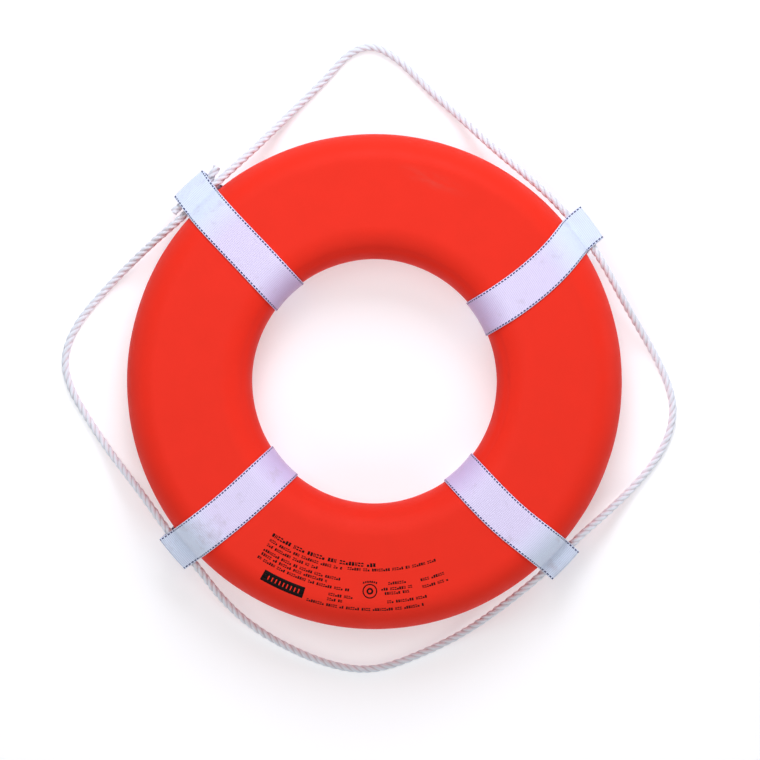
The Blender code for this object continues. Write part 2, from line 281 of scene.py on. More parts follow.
def spline_through(points: Sequence[Sequence[float]], steps: int) -> np.ndarray:
    """Run a natural cubic spline through given points.

    Args:
        points: The points, in order.
        steps: How many pieces each stretch between two points is cut into.

    Returns:
        The points of the spline, one per row.
    """
    knots = np.array(points)
    gaps = np.linalg.norm(np.diff(knots, axis=0), axis=1)
    system = np.eye(len(knots))
    bend = np.zeros_like(knots)
    for i in range(1, len(knots) - 1):
        system[i, i - 1 : i + 2] = gaps[i - 1], 2 * (gaps[i - 1] + gaps[i]), gaps[i]
        bend[i] = 6 * ((knots[i + 1] - knots[i]) / gaps[i] - (knots[i] - knots[i - 1]) / gaps[i - 1])
    bend = np.linalg.solve(system, bend)
    line = [knots[0]]
    for i, gap in enumerate(gaps):
        for step in range(1, steps + 1):
            b = step / steps
            a = 1 - b
            curved = (a**3 - a) * bend[i] + (b**3 - b) * bend[i + 1]
            line.append(a * knots[i] + b * knots[i + 1] + curved * gap**2 / 6)
    return np.array(line)


def even_line(line: np.ndarray, step: float, axes: int = 3) -> tuple[np.ndarray, np.ndarray]:
    """Cut a line into pieces of about one length.

    Args:
        line: The line's points; columns past the first few ride along with them.
        step: The length that is wanted.
        axes: How many of the columns are places, from the first one.

    Returns:
        The new points, and how far along the line each of them is.
    """
    along = np.r_[0.0, np.cumsum(np.linalg.norm(np.diff(line[:, :axes], axis=0), axis=1))]
    places = np.linspace(0.0, along[-1], max(2, round(along[-1] / step) + 1))
    points = np.column_stack([np.interp(places, along, line[:, axis]) for axis in range(line.shape[1])])
    return points, places


# --- finishes ------------------------------------------------------------------------------------
@dataclass(frozen=True)
class DippedVinyl:
    """Plasticised PVC, dipped over foam and cured: an even satin coat that scuffs dull."""

    colour: str = "#EB3020"
    worn_colour: str = "#E23122"
    scuff_colour: str = "#D45248"
    roughness: float = 0.5
    peel_mm: float = 2.4
    mottle_mm: float = 34.0
    ior: float = 1.3
    gloss: float = 0.12
    scuff_place: tuple[float, float, float] = (0.071, 0.246, 0.106)
    scuff_reach: tuple[float, float, float] = (0.05, 0.013, 0.02)
    scuff_turn: float = -22.0

    def material(self) -> bpy.types.Material:
        """Mix the skin's red, with its orange peel and its dull scuffs.

        Returns:
            The material.
        """
        material, tree, shader = new_material("dipped_vinyl")
        place = add_node(tree, "TexCoord").outputs["Object"]
        mottle = add_node(
            tree,
            "TexNoise",
            {"Scale": 1 / (self.mottle_mm * MM), "Detail": 5.0, "Roughness": 0.62},
            {"Vector": place},
        ).outputs["Fac"]
        tone = add_node(
            tree,
            "Mix",
            {"data_type": "RGBA", 6: linear(self.colour), 7: linear(self.worn_colour)},
            {0: mottle},
        ).outputs[2]
        coat = add_node(
            tree,
            "Mix",
            {"data_type": "RGBA", 7: linear(self.scuff_colour)},
            {0: self.scuffs(tree, place), 6: tone},
        ).outputs[2]
        tree.links.new(coat, shader.inputs["Base Color"])
        dulled = {"To Min": self.roughness - 0.05, "To Max": self.roughness + 0.06}
        satin = add_node(
            tree, "MapRange", {"From Min": 0.35, "From Max": 0.65, **dulled}, {"Value": mottle}
        ).outputs[0]
        tree.links.new(satin, shader.inputs["Roughness"])
        peel = add_node(
            tree, "TexNoise", {"Scale": 1 / (self.peel_mm * MM), "Detail": 2.0}, {"Vector": place}
        ).outputs["Fac"]
        bump = add_node(tree, "Bump", {"Strength": 0.16, "Distance": 0.25 * MM}, {"Height": peel})
        tree.links.new(bump.outputs[0], shader.inputs["Normal"])
        shader.inputs["IOR"].default_value = self.ior
        shader.inputs["Specular IOR Level"].default_value = self.gloss
        return material

    def scuffs(self, tree: bpy.types.NodeTree, place: bpy.types.NodeSocket) -> bpy.types.NodeSocket:
        """Mark where the coat is rubbed dull, in streaks along the ring on its rear face.

        Args:
            tree: The material's node tree.
            place: The position on the object.

        Returns:
            How scuffed each place is, from 0 to 1.
        """
        placing = {
            "vector_type": "TEXTURE",
            "Location": self.scuff_place,
            "Rotation": (0, 0, radians(self.scuff_turn)),
            "Scale": self.scuff_reach,
        }
        turned = add_node(tree, "Mapping", placing, {"Vector": place}).outputs[0]
        reach = add_node(tree, "VectorMath", {"operation": "LENGTH"}, {0: turned}).outputs["Value"]
        patch = add_node(tree, "MapRange", {"From Min": 1.0, "From Max": 0.2}, {"Value": reach}).outputs[0]
        streaks = add_node(
            tree, "TexNoise", {"Scale": 1.4, "Detail": 6.0, "Roughness": 0.7}, {"Vector": turned}
        ).outputs["Fac"]
        rubbed = add_node(
            tree, "MapRange", {"From Min": 0.42, "From Max": 0.75, "To Max": 0.55}, {"Value": streaks}
        ).outputs[0]
        return add_node(tree, "Math", {"operation": "MULTIPLY"}, {0: patch, 1: rubbed}).outputs[0]


@dataclass(frozen=True)
class WovenWebbing:
    """Polyester webbing, woven flat with a blue tracer yarn floated along each selvedge.

    Its face carries painted sky light, paler and bluer towards the rim, and painted shade, duller in the bore, with
    grime and one smudge.
    """

    warp_colour: str = "#DFD6F4"
    # Painted sky light: the paler, bluer colour of the band towards the rim.
    sky_light_colour: str = "#D9E6FA"
    # Painted shade: the duller, more violet colour of the band in the bore.
    bore_shade_colour: str = "#C6B4E2"
    weft_colour: str = "#AC98C6"
    tracer_colour: str = "#141C5C"
    smudge_colour: str = "#A89AA6"
    rib_mm: float = 2.2
    yarn_mm: float = 1.6
    tracer_inset_mm: float = 1.75
    tracer_width_mm: float = 1.6
    float_mm: float = 4.4
    float_share: float = 0.64
    grime_mm: float = 26.3158
    # Radii where the painted sky light starts and is full, and where the painted shade starts and is deepest.
    sky_light_from: float = 0.255
    sky_light_to: float = 0.295
    shaded_from: float = 0.185
    shaded_to: float = 0.152
    smudge: tuple[float, float, float] = (-0.196, -0.187, 0.106)
    smudge_reach: float = 0.030
    roughness: float = 0.72

    def material(self, half_width: float) -> bpy.types.Material:
        """Weave the webbing's material, on a UV map in metres along and across the band.

        Args:
            half_width: From the band's middle line to its edge.

        Returns:
            The material.
        """
        material, tree, shader = new_material("polyester_webbing")
        cloth = add_node(tree, "UVMap", {"uv_map": "cloth"}).outputs[0]
        axes = add_node(tree, "SeparateXYZ", {}, {0: cloth}).outputs
        place = add_node(tree, "TexCoord").outputs["Object"]
        ribs = self.ridges(tree, axes["X"], self.rib_mm)
        yarns = self.ridges(tree, axes["Y"], self.yarn_mm)
        furrow = add_node(
            tree, "MapRange", {"From Min": 0.45, "From Max": 0.0, "To Max": 0.8}, {"Value": ribs}
        ).outputs[0]
        tracer = self.tracer(tree, axes["X"], axes["Y"], half_width)
        layers = (
            (self.weft_colour, furrow),
            (self.smudge_colour, self.dirt(tree, place)),
            (self.tracer_colour, tracer),
        )
        shade = self.face(tree, place)
        for colour, share in layers:
            shade = add_node(
                tree, "Mix", {"data_type": "RGBA", 7: linear(colour)}, {0: share, 6: shade}
            ).outputs[2]
        tree.links.new(shade, shader.inputs["Base Color"])
        weave = add_node(
            tree, "Math", {"operation": "MULTIPLY_ADD", 1: 0.35}, {0: yarns, 2: ribs}
        ).outputs[0]
        raised = add_node(
            tree, "Math", {"operation": "MULTIPLY_ADD", 1: 0.8}, {0: tracer, 2: weave}
        ).outputs[0]
        bump = add_node(tree, "Bump", {"Strength": 0.55, "Distance": 0.3 * MM}, {"Height": raised})
        tree.links.new(bump.outputs[0], shader.inputs["Normal"])
        shader.inputs["Roughness"].default_value = self.roughness
        shader.inputs["Sheen Weight"].default_value = 0.25
        shader.inputs["Sheen Roughness"].default_value = 0.4
        return material

    def face(self, tree: bpy.types.NodeTree, place: bpy.types.NodeSocket) -> bpy.types.NodeSocket:
        """Tint the warp by its distance from the ring's axis: painted sky light outside, painted shade in the bore.

        Args:
            tree: The material's node tree.
            place: The position on the object.

        Returns:
            The warp's colour at each place.
        """
        plan = add_node(
            tree, "VectorMath", {"operation": "MULTIPLY", 1: (1, 1, 0)}, {0: place}
        ).outputs[0]
        radius = add_node(tree, "VectorMath", {"operation": "LENGTH"}, {0: plan}).outputs["Value"]
        # Painted sky light: paler and bluer towards the rim.
        outside = add_node(
            tree,
            "MapRange",
            {"From Min": self.sky_light_from, "From Max": self.sky_light_to},
            {"Value": radius},
        ).outputs[0]
        # Painted shade: duller and more violet in the bore.
        inside = add_node(
            tree,
            "MapRange",
            {"From Min": self.shaded_from, "From Max": self.shaded_to, "To Max": 0.8},
            {"Value": radius},
        ).outputs[0]
        sky_lit = add_node(
            tree,
            "Mix",
            {"data_type": "RGBA", 6: linear(self.warp_colour), 7: linear(self.sky_light_colour)},
            {0: outside},
        ).outputs[2]
        return add_node(
            tree, "Mix", {"data_type": "RGBA", 7: linear(self.bore_shade_colour)}, {0: inside, 6: sky_lit}
        ).outputs[2]

    def dirt(self, tree: bpy.types.NodeTree, place: bpy.types.NodeSocket) -> bpy.types.NodeSocket:
        """Spot the cloth with grime, thickest round one smudge.

        Args:
            tree: The material's node tree.
            place: The position on the object.

        Returns:
            How dirty each place is, from 0 to 1.
        """
        grime = add_node(
            tree,
            "TexNoise",
            {"Scale": 1 / (self.grime_mm * MM), "Detail": 6.0, "Roughness": 0.7},
            {"Vector": place},
        ).outputs["Fac"]
        away = add_node(
            tree, "VectorMath", {"operation": "DISTANCE", 1: self.smudge}, {0: place}
        ).outputs["Value"]
        near = add_node(
            tree,
            "MapRange",
            {"From Min": self.smudge_reach, "From Max": 0.0, "To Max": 0.20},
            {"Value": away},
        ).outputs[0]
        spotted = add_node(tree, "Math", {"operation": "ADD"}, {0: grime, 1: near}).outputs[0]
        return add_node(
            tree, "MapRange", {"From Min": 0.56, "From Max": 0.8, "To Max": 0.55}, {"Value": spotted}
        ).outputs[0]

    def ridges(
        self, tree: bpy.types.NodeTree, distance: bpy.types.NodeSocket, period_mm: float
    ) -> bpy.types.NodeSocket:
        """Draw rounded ridges side by side.

        Args:
            tree: The material's node tree.
            distance: How far each place is along the line that the ridges cross, in metres.
            period_mm: From one ridge to the next.

        Returns:
            The ridges' height, from 0 in a furrow to 1 on a crest.
        """
        per_metre = pi / (period_mm * MM)
        turn = add_node(tree, "Math", {"operation": "MULTIPLY", 1: per_metre}, {0: distance}).outputs[0]
        wave = add_node(tree, "Math", {"operation": "SINE"}, {0: turn}).outputs[0]
        return add_node(tree, "Math", {"operation": "ABSOLUTE"}, {0: wave}).outputs[0]

    def tracer(
        self,
        tree: bpy.types.NodeTree,
        along: bpy.types.NodeSocket,
        across: bpy.types.NodeSocket,
        half_width: float,
    ) -> bpy.types.NodeSocket:
        """Draw the tracer yarn, which shows as dashes where it floats over the weft.

        Args:
            tree: The material's node tree.
            along: The distance along the band.
            across: The distance across it from its middle line.
            half_width: From the middle line to the band's edge.

        Returns:
            1 on the yarn and 0 beside it.
        """
        middle, half_yarn = half_width - self.tracer_inset_mm * MM, self.tracer_width_mm * MM / 2
        side = add_node(tree, "Math", {"operation": "ABSOLUTE"}, {0: across}).outputs[0]
        lane = add_node(
            tree, "Math", {"operation": "COMPARE", 1: middle, 2: half_yarn}, {0: side}
        ).outputs[0]
        count = add_node(
            tree, "Math", {"operation": "MULTIPLY", 1: 1 / (self.float_mm * MM)}, {0: along}
        ).outputs[0]
        phase = add_node(tree, "Math", {"operation": "FRACT"}, {0: count}).outputs[0]
        up = add_node(tree, "Math", {"operation": "LESS_THAN", 1: self.float_share}, {0: phase}).outputs[0]
        return add_node(tree, "Math", {"operation": "MULTIPLY"}, {0: lane, 1: up}).outputs[0]


@dataclass(frozen=True)
class LaidPolypropylene:
    """Spun polypropylene rope: three strands of matt white yarn, a little hairy, with painted shade in the lay that is
    grey and pink with the ring's reflected red.
    """

    crown_colour: str = "#EAF1FB"
    # Painted shade in the lay and between the yarns, pink with the ring's reflected red.
    lay_shade_colour: str = "#CBBAC2"
    yarns_around: int = 30
    yarn_wander: float = 5.0
    wander_mm: float = 7.0
    roughness: float = 0.78

    def material(self) -> bpy.types.Material:
        """Spin the rope's material, with its yarns running along the rope over each strand, and painted shade in the
        lay and between the yarns.

        Returns:
            The material.
        """
        material, tree, shader = new_material("laid_polypropylene")
        groove = add_node(tree, "Attribute", {"attribute_name": "lay_depth"}).outputs["Fac"]
        cloth = add_node(tree, "UVMap", {"uv_map": "cloth"}).outputs[0]
        around = add_node(tree, "SeparateXYZ", {}, {0: cloth}).outputs["Y"]
        place = add_node(tree, "TexCoord").outputs["Object"]
        hair = add_node(
            tree, "TexNoise", {"Scale": 1 / (self.wander_mm * MM), "Detail": 4.0}, {"Vector": place}
        ).outputs["Fac"]
        turn = add_node(
            tree, "Math", {"operation": "MULTIPLY", 1: tau * self.yarns_around}, {0: around}
        ).outputs[0]
        strayed = add_node(
            tree, "Math", {"operation": "MULTIPLY_ADD", 1: self.yarn_wander}, {0: hair, 2: turn}
        ).outputs[0]
        yarns = add_node(tree, "Math", {"operation": "SINE"}, {0: strayed}).outputs[0]
        # Painted shade: the colour darkens with the depth of the lay between the strands.
        shadow = add_node(
            tree, "MapRange", {"From Min": 0.35, "From Max": 1.0, "To Max": 0.75}, {"Value": groove}
        ).outputs[0]
        tone = add_node(
            tree,
            "Mix",
            {"data_type": "RGBA", 6: linear(self.crown_colour), 7: linear(self.lay_shade_colour)},
            {0: shadow},
        ).outputs[2]
        # Painted shade in the furrows between the yarns.
        between = add_node(
            tree, "MapRange", {"From Min": -0.4, "From Max": -1.0, "To Max": 0.16}, {"Value": yarns}
        ).outputs[0]
        spun = add_node(
            tree, "Mix", {"data_type": "RGBA", 7: linear(self.lay_shade_colour)}, {0: between, 6: tone}
        ).outputs[2]
        tree.links.new(spun, shader.inputs["Base Color"])
        bump = add_node(tree, "Bump", {"Strength": 0.5, "Distance": 0.25 * MM}, {"Height": yarns})
        tree.links.new(bump.outputs[0], shader.inputs["Normal"])
        shader.inputs["Roughness"].default_value = self.roughness
        shader.inputs["Sheen Weight"].default_value = 0.3
        return material


@dataclass(frozen=True)
class SpunThread:
    """Waxed or bonded thread and twine: fine plies that lie close and shine a little."""

    name: str
    colour: str
    shade: str
    ply_mm: float
    roughness: float

    def material(self) -> bpy.types.Material:
        """Spin the thread's material, broken up by its plies.

        Returns:
            The material.
        """
        material, tree, shader = new_material(self.name)
        place = add_node(tree, "TexCoord").outputs["Object"]
        plies = add_node(
            tree, "TexNoise", {"Scale": 1 / (self.ply_mm * MM), "Detail": 3.0}, {"Vector": place}
        ).outputs["Fac"]
        two_tones = {"data_type": "RGBA", 6: linear(self.shade), 7: linear(self.colour)}
        tone = add_node(tree, "Mix", two_tones, {0: plies}).outputs[2]
        tree.links.new(tone, shader.inputs["Base Color"])
        bump = add_node(tree, "Bump", {"Strength": 0.4, "Distance": 0.1 * MM}, {"Height": plies})
        tree.links.new(bump.outputs[0], shader.inputs["Normal"])
        shader.inputs["Roughness"].default_value = self.roughness
        return material


@dataclass(frozen=True)
class ScreenInk:
    """Solvent screen ink on vinyl: flat black, thinner and redder where the screen ran dry."""

    colour: str = "#0B0808"
    thin_colour: str = "#3A0F0C"
    patch_mm: float = 3.0
    ior: float = 1.2
    roughness: float = 0.6

    def material(self) -> bpy.types.Material:
        """Mix the ink, which lets a little of the coat through in places.

        Returns:
            The material.
        """
        material, tree, shader = new_material("screen_ink")
        place = add_node(tree, "TexCoord").outputs["Object"]
        cover = add_node(
            tree, "TexNoise", {"Scale": 1 / (self.patch_mm * MM), "Detail": 4.0}, {"Vector": place}
        ).outputs["Fac"]
        thin = add_node(tree, "MapRange", {"From Min": 0.55, "From Max": 0.8}, {"Value": cover}).outputs[0]
        two_tones = {"data_type": "RGBA", 6: linear(self.colour), 7: linear(self.thin_colour)}
        tone = add_node(tree, "Mix", two_tones, {0: thin}).outputs[2]
        tree.links.new(tone, shader.inputs["Base Color"])
        shader.inputs["IOR"].default_value = self.ior
        shader.inputs["Roughness"].default_value = self.roughness
        return material


@dataclass(frozen=True)
class ClosedCellFoam:
    """Cross-linked closed-cell foam as cut: pale, matt and finely pitted by its cells."""

    colour: str = "#E6DFC9"
    cell_colour: str = "#C9BF9F"
    cell_mm: float = 1.2
    roughness: float = 0.92

    def material(self) -> bpy.types.Material:
        """Mix the core's pale material, broken up by its cells.

        Returns:
            The material.
        """
        material, tree, shader = new_material("closed_cell_foam")
        place = add_node(tree, "TexCoord").outputs["Object"]
        cells = add_node(
            tree, "TexVoronoi", {"Scale": 1 / (self.cell_mm * MM)}, {"Vector": place}
        ).outputs["Distance"]
        two_tones = {"data_type": "RGBA", 6: linear(self.colour), 7: linear(self.cell_colour)}
        tone = add_node(tree, "Mix", two_tones, {0: cells}).outputs[2]
        tree.links.new(tone, shader.inputs["Base Color"])
        bump = add_node(tree, "Bump", {"Strength": 0.4, "Distance": 0.2 * MM}, {"Height": cells})
        tree.links.new(bump.outputs[0], shader.inputs["Normal"])
        shader.inputs["Roughness"].default_value = self.roughness
        return material


# --- camera, floor and lights --------------------------------------------------------------------
@dataclass
class Studio:
    """A pale floor, soft lights and a camera straight above the ring."""

    camera_height: float = 7.0
    view_height: float = 0.936
    centre: tuple[float, float] = (0.0068, 0.0018)
    sensor: float = 36.0
    far_clip: float = 80.0
    floor_size: float = 60.0
    floor_colour: str = "#D2D2D4"
    floor_glow: float = 0.62
    zenith: float = 0.030
    horizon: float = 0.0725
    backdrop: float = 0.45
    backdrop_top: tuple[float, float] = (0.07, 0.12)

    def build(self, plane: float) -> None:
        """Set up everything that isn't part of the object.

        Args:
            plane: The height at which the view is view_height high.
        """
        scene = bpy.context.scene
        scene.view_settings.view_transform = "Standard"
        self.add_camera(plane)
        self.add_floor()
        self.add_sky()
        self.add_light("key", (0.2, 1.85, 1.85), 1.3, 53.0, "#F6F7FF")
        self.add_light("top", (-0.4, 0.4, 2.6), 1.6, 26.0, "#FFFFFF")
        self.add_light("fill", (0.0, -2.0, 1.8), 1.8, 22.0, "#FFFFFF")
        self.add_light("right", (2.2, 0.2, 0.45), 0.8, 9.0, "#FFFFFF")
        self.add_light("left", (-2.2, 0.0, 0.45), 0.8, 4.5, "#FFFFFF")

    def add_sky(self) -> None:
        """Add a soft sky, dim overhead and brighter lower down, with a pale band behind the floor."""
        world = bpy.data.worlds.new("studio_sky")
        world.use_nodes = True
        tree = world.node_tree
        heading = add_node(tree, "TexCoord").outputs["Generated"]
        rise = add_node(tree, "SeparateXYZ", {}, {0: heading}).outputs["Z"]
        strength = add_node(
            tree,
            "MapRange",
            {"From Min": 0.1, "From Max": 0.9, "To Min": self.horizon, "To Max": self.zenith},
            {"Value": rise},
        ).outputs[0]
        full, gone = self.backdrop_top
        band = add_node(
            tree,
            "MapRange",
            {"From Min": full, "From Max": gone, "To Min": self.backdrop, "To Max": 0.0},
            {"Value": rise},
        ).outputs[0]
        shown = add_node(tree, "Math", {"operation": "MAXIMUM"}, {0: strength, 1: band}).outputs[0]
        background = tree.nodes["Background"]
        background.inputs["Color"].default_value = linear("#FFFFFF")
        tree.links.new(shown, background.inputs["Strength"])
        bpy.context.scene.world = world

    def add_camera(self, plane: float) -> None:
        """Add the camera, looking straight down with +Y at the top of the picture.

        Args:
            plane: The height at which the view is view_height high.
        """
        camera = bpy.data.cameras.new("camera")
        camera.sensor_width = self.sensor
        camera.lens = self.sensor * self.camera_height / self.view_height
        camera.clip_end = self.far_clip
        holder = bpy.data.objects.new("camera", camera)
        holder.location = (*self.centre, plane + self.camera_height)
        bpy.context.scene.collection.objects.link(holder)
        bpy.context.scene.camera = holder

    def add_floor(self) -> None:
        """Add the plain pale floor that the ring lies on."""
        material, _, shader = new_material("painted_floor")
        shader.inputs["Base Color"].default_value = linear(self.floor_colour)
        shader.inputs["Roughness"].default_value = 0.9
        shader.inputs["Specular IOR Level"].default_value = 0.1
        shader.inputs["Emission Color"].default_value = linear(self.floor_colour)
        shader.inputs["Emission Strength"].default_value = self.floor_glow
        mesh = bmesh.new()
        bmesh.ops.create_grid(mesh, x_segments=2, y_segments=2, size=self.floor_size / 2)
        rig.stage(add_piece("floor", mesh, material))

    def add_light(
        self, name: str, place: tuple[float, float, float], size: float, power: float, colour: str
    ) -> None:
        """Add a square soft light that looks at the middle of the ring.

        Args:
            name: Its name.
            place: Where it hangs.
            size: The length of its side.
            power: Its power in watts.
            colour: Its colour as "#RRGGBB".
        """
        lamp = bpy.data.lights.new(name, "AREA")
        lamp.size = size
        lamp.energy = power
        lamp.color = linear(colour)[:3]
        holder = bpy.data.objects.new(name, lamp)
        holder.location = place
        holder.rotation_euler = (-Vector(place)).to_track_quat("-Z", "Y").to_euler()
        bpy.context.scene.collection.objects.link(holder)


# --- the ring ------------------------------------------------------------------------------------
@dataclass
class RingBody:
    """The foam ring's vinyl skin, a turned shell with a rounded section."""

    bore_radius: float = 0.15025
    outer_shoulder: float = 0.036
    inner_shoulder: float = 0.041
    straight_wall: float = 0.0136
    wall: float = 0.0015
    shoulder_steps: int = 24
    land_steps: int = 22
    turn_steps: int = 288
    unevenness: float = 0.0007
    print_azimuth: float = 263.0
    print_calm: tuple[float, float] = (30.0, 38.0)
    crease_radius: float = 0.1620
    crease_width: float = 0.0020
    crease_depth: float = 0.0011

    def __post_init__(self) -> None:
        """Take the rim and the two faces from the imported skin."""
        self.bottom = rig.box("vinyl_skin_bottom")[0][2]
        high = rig.box("vinyl_skin_top")[1]
        self.rim_radius = high[0]
        self.top = high[2]
        self.middle = (self.bottom + self.top) / 2
        self.shoulder_height = (self.top - self.bottom - self.straight_wall) / 2

    def surface(self, shoulder: float, turn: float, inset: float = 0.0) -> tuple[float, float]:
        """A point of the outer upper shoulder.

        Args:
            shoulder: The shoulder's radial size.
            turn: The angle above level, in degrees.
            inset: How far inside the skin's surface the point is; below 0 is outside.

        Returns:
            Its radius and its height.
        """
        angle = radians(turn)
        radius = self.rim_radius - shoulder + (shoulder - inset) * cos(angle)
        height = self.middle + self.straight_wall / 2 + (self.shoulder_height - inset) * sin(angle)
        return radius, height

    def face_height(self, radius: float) -> float:
        """The height of the upper face at a radius from the bore's shoulder out to the rim."""
        into = max(0.0, radius - (self.rim_radius - self.outer_shoulder)) / self.outer_shoulder
        return self.top - self.shoulder_height * (1 - sqrt(max(0.0, 1 - into**2)))

    def section(self, mesh: bmesh.types.BMesh) -> None:
        """Draw the section as one loop: four quarter ellipses with straight runs between them.

        Args:
            mesh: The empty mesh that it goes into.
        """
        steps = self.shoulder_steps
        loop = bmesh.ops.create_circle(mesh, segments=4 * (steps + 1), radius=1.0)["verts"]
        for number, vertex in enumerate(loop):
            quarter, step = divmod(number, steps + 1)
            turn = radians(90 - 90 * (quarter + step / steps))
            reach = self.outer_shoulder if quarter < 2 else self.inner_shoulder
            centre = self.rim_radius - reach if quarter < 2 else self.bore_radius + reach
            lift = self.straight_wall / 2 * (1 if quarter in (0, 3) else -1)
            height = self.middle + lift + self.shoulder_height * sin(turn)
            vertex.co = (centre + reach * cos(turn), 0, height)
        for edge in mesh.edges[:]:
            length = edge.calc_length()
            if length > self.straight_wall / 2:
                cuts = self.land_steps if length > self.outer_shoulder else 3
                bmesh.ops.subdivide_edges(mesh, edges=[edge], cuts=cuts)

    def build(self, finish: bpy.types.Material) -> bpy.types.Object:
        """Turn the skin and sink its small unevenness and the crease beside the bore.

        Args:
            finish: The skin's material.

        Returns:
            The skin, a hollow shell.
        """
        mesh = bmesh.new()
        self.section(mesh)
        bmesh.ops.spin(
            mesh,
            geom=mesh.verts[:] + mesh.edges[:],
            cent=(0, 0, 0),
            axis=(0, 0, 1),
            angle=tau,
            steps=self.turn_steps,
            use_merge=True,
        )
        bmesh.ops.remove_doubles(mesh, verts=mesh.verts, dist=0.00001)
        bmesh.ops.recalc_face_normals(mesh, faces=mesh.faces)
        mesh.normal_update()
        for vertex in mesh.verts:
            vertex.co -= vertex.normal * self.sink(vertex.co)
        skin = add_piece("vinyl_skin", mesh, finish)
        shell = skin.modifiers.new("wall", "SOLIDIFY")
        shell.thickness = self.wall
        shell.offset = -1.0
        return skin

    def sink(self, place: Vector) -> float:
        """Work out how far the skin lies inside its nominal surface.

        Args:
            place: A place on that surface.

        Returns:
            The depth, least where the print needs a smooth face.
        """
        radius = hypot(place.x, place.y)
        azimuth = degrees(atan2(place.y, place.x)) % 360
        near, far = self.print_calm
        calm = min(1.0, max(0.0, (abs(azimuth - self.print_azimuth) - near) / (far - near)))
        rough = 0.5 + 0.5 * noise.noise(place * 17.0)
        fine = 0.5 + 0.5 * noise.noise(place * 46.0 + Vector((3.1, 0.7, 9.2)))
        sunk = self.unevenness * calm * (0.75 * rough + 0.25 * fine)
        if place.z > self.middle:
            share = (radius - self.crease_radius) / self.crease_width
            waver = 0.5 + 0.5 * noise.noise(Vector((place.x * 9, place.y * 9, 4.0)))
            sunk += self.crease_depth * (0.35 + 0.65 * waver) * exp(-share * share)
        return sunk


# --- the grab line -------------------------------------------------------------------------------
class Stretch(Enum):
    """The four stretches of the grab line, each from the middle of one pocket to the next."""

    REAR = "rear"
    RIGHT = "right"
    FRONT = "front"
    LEFT = "left"


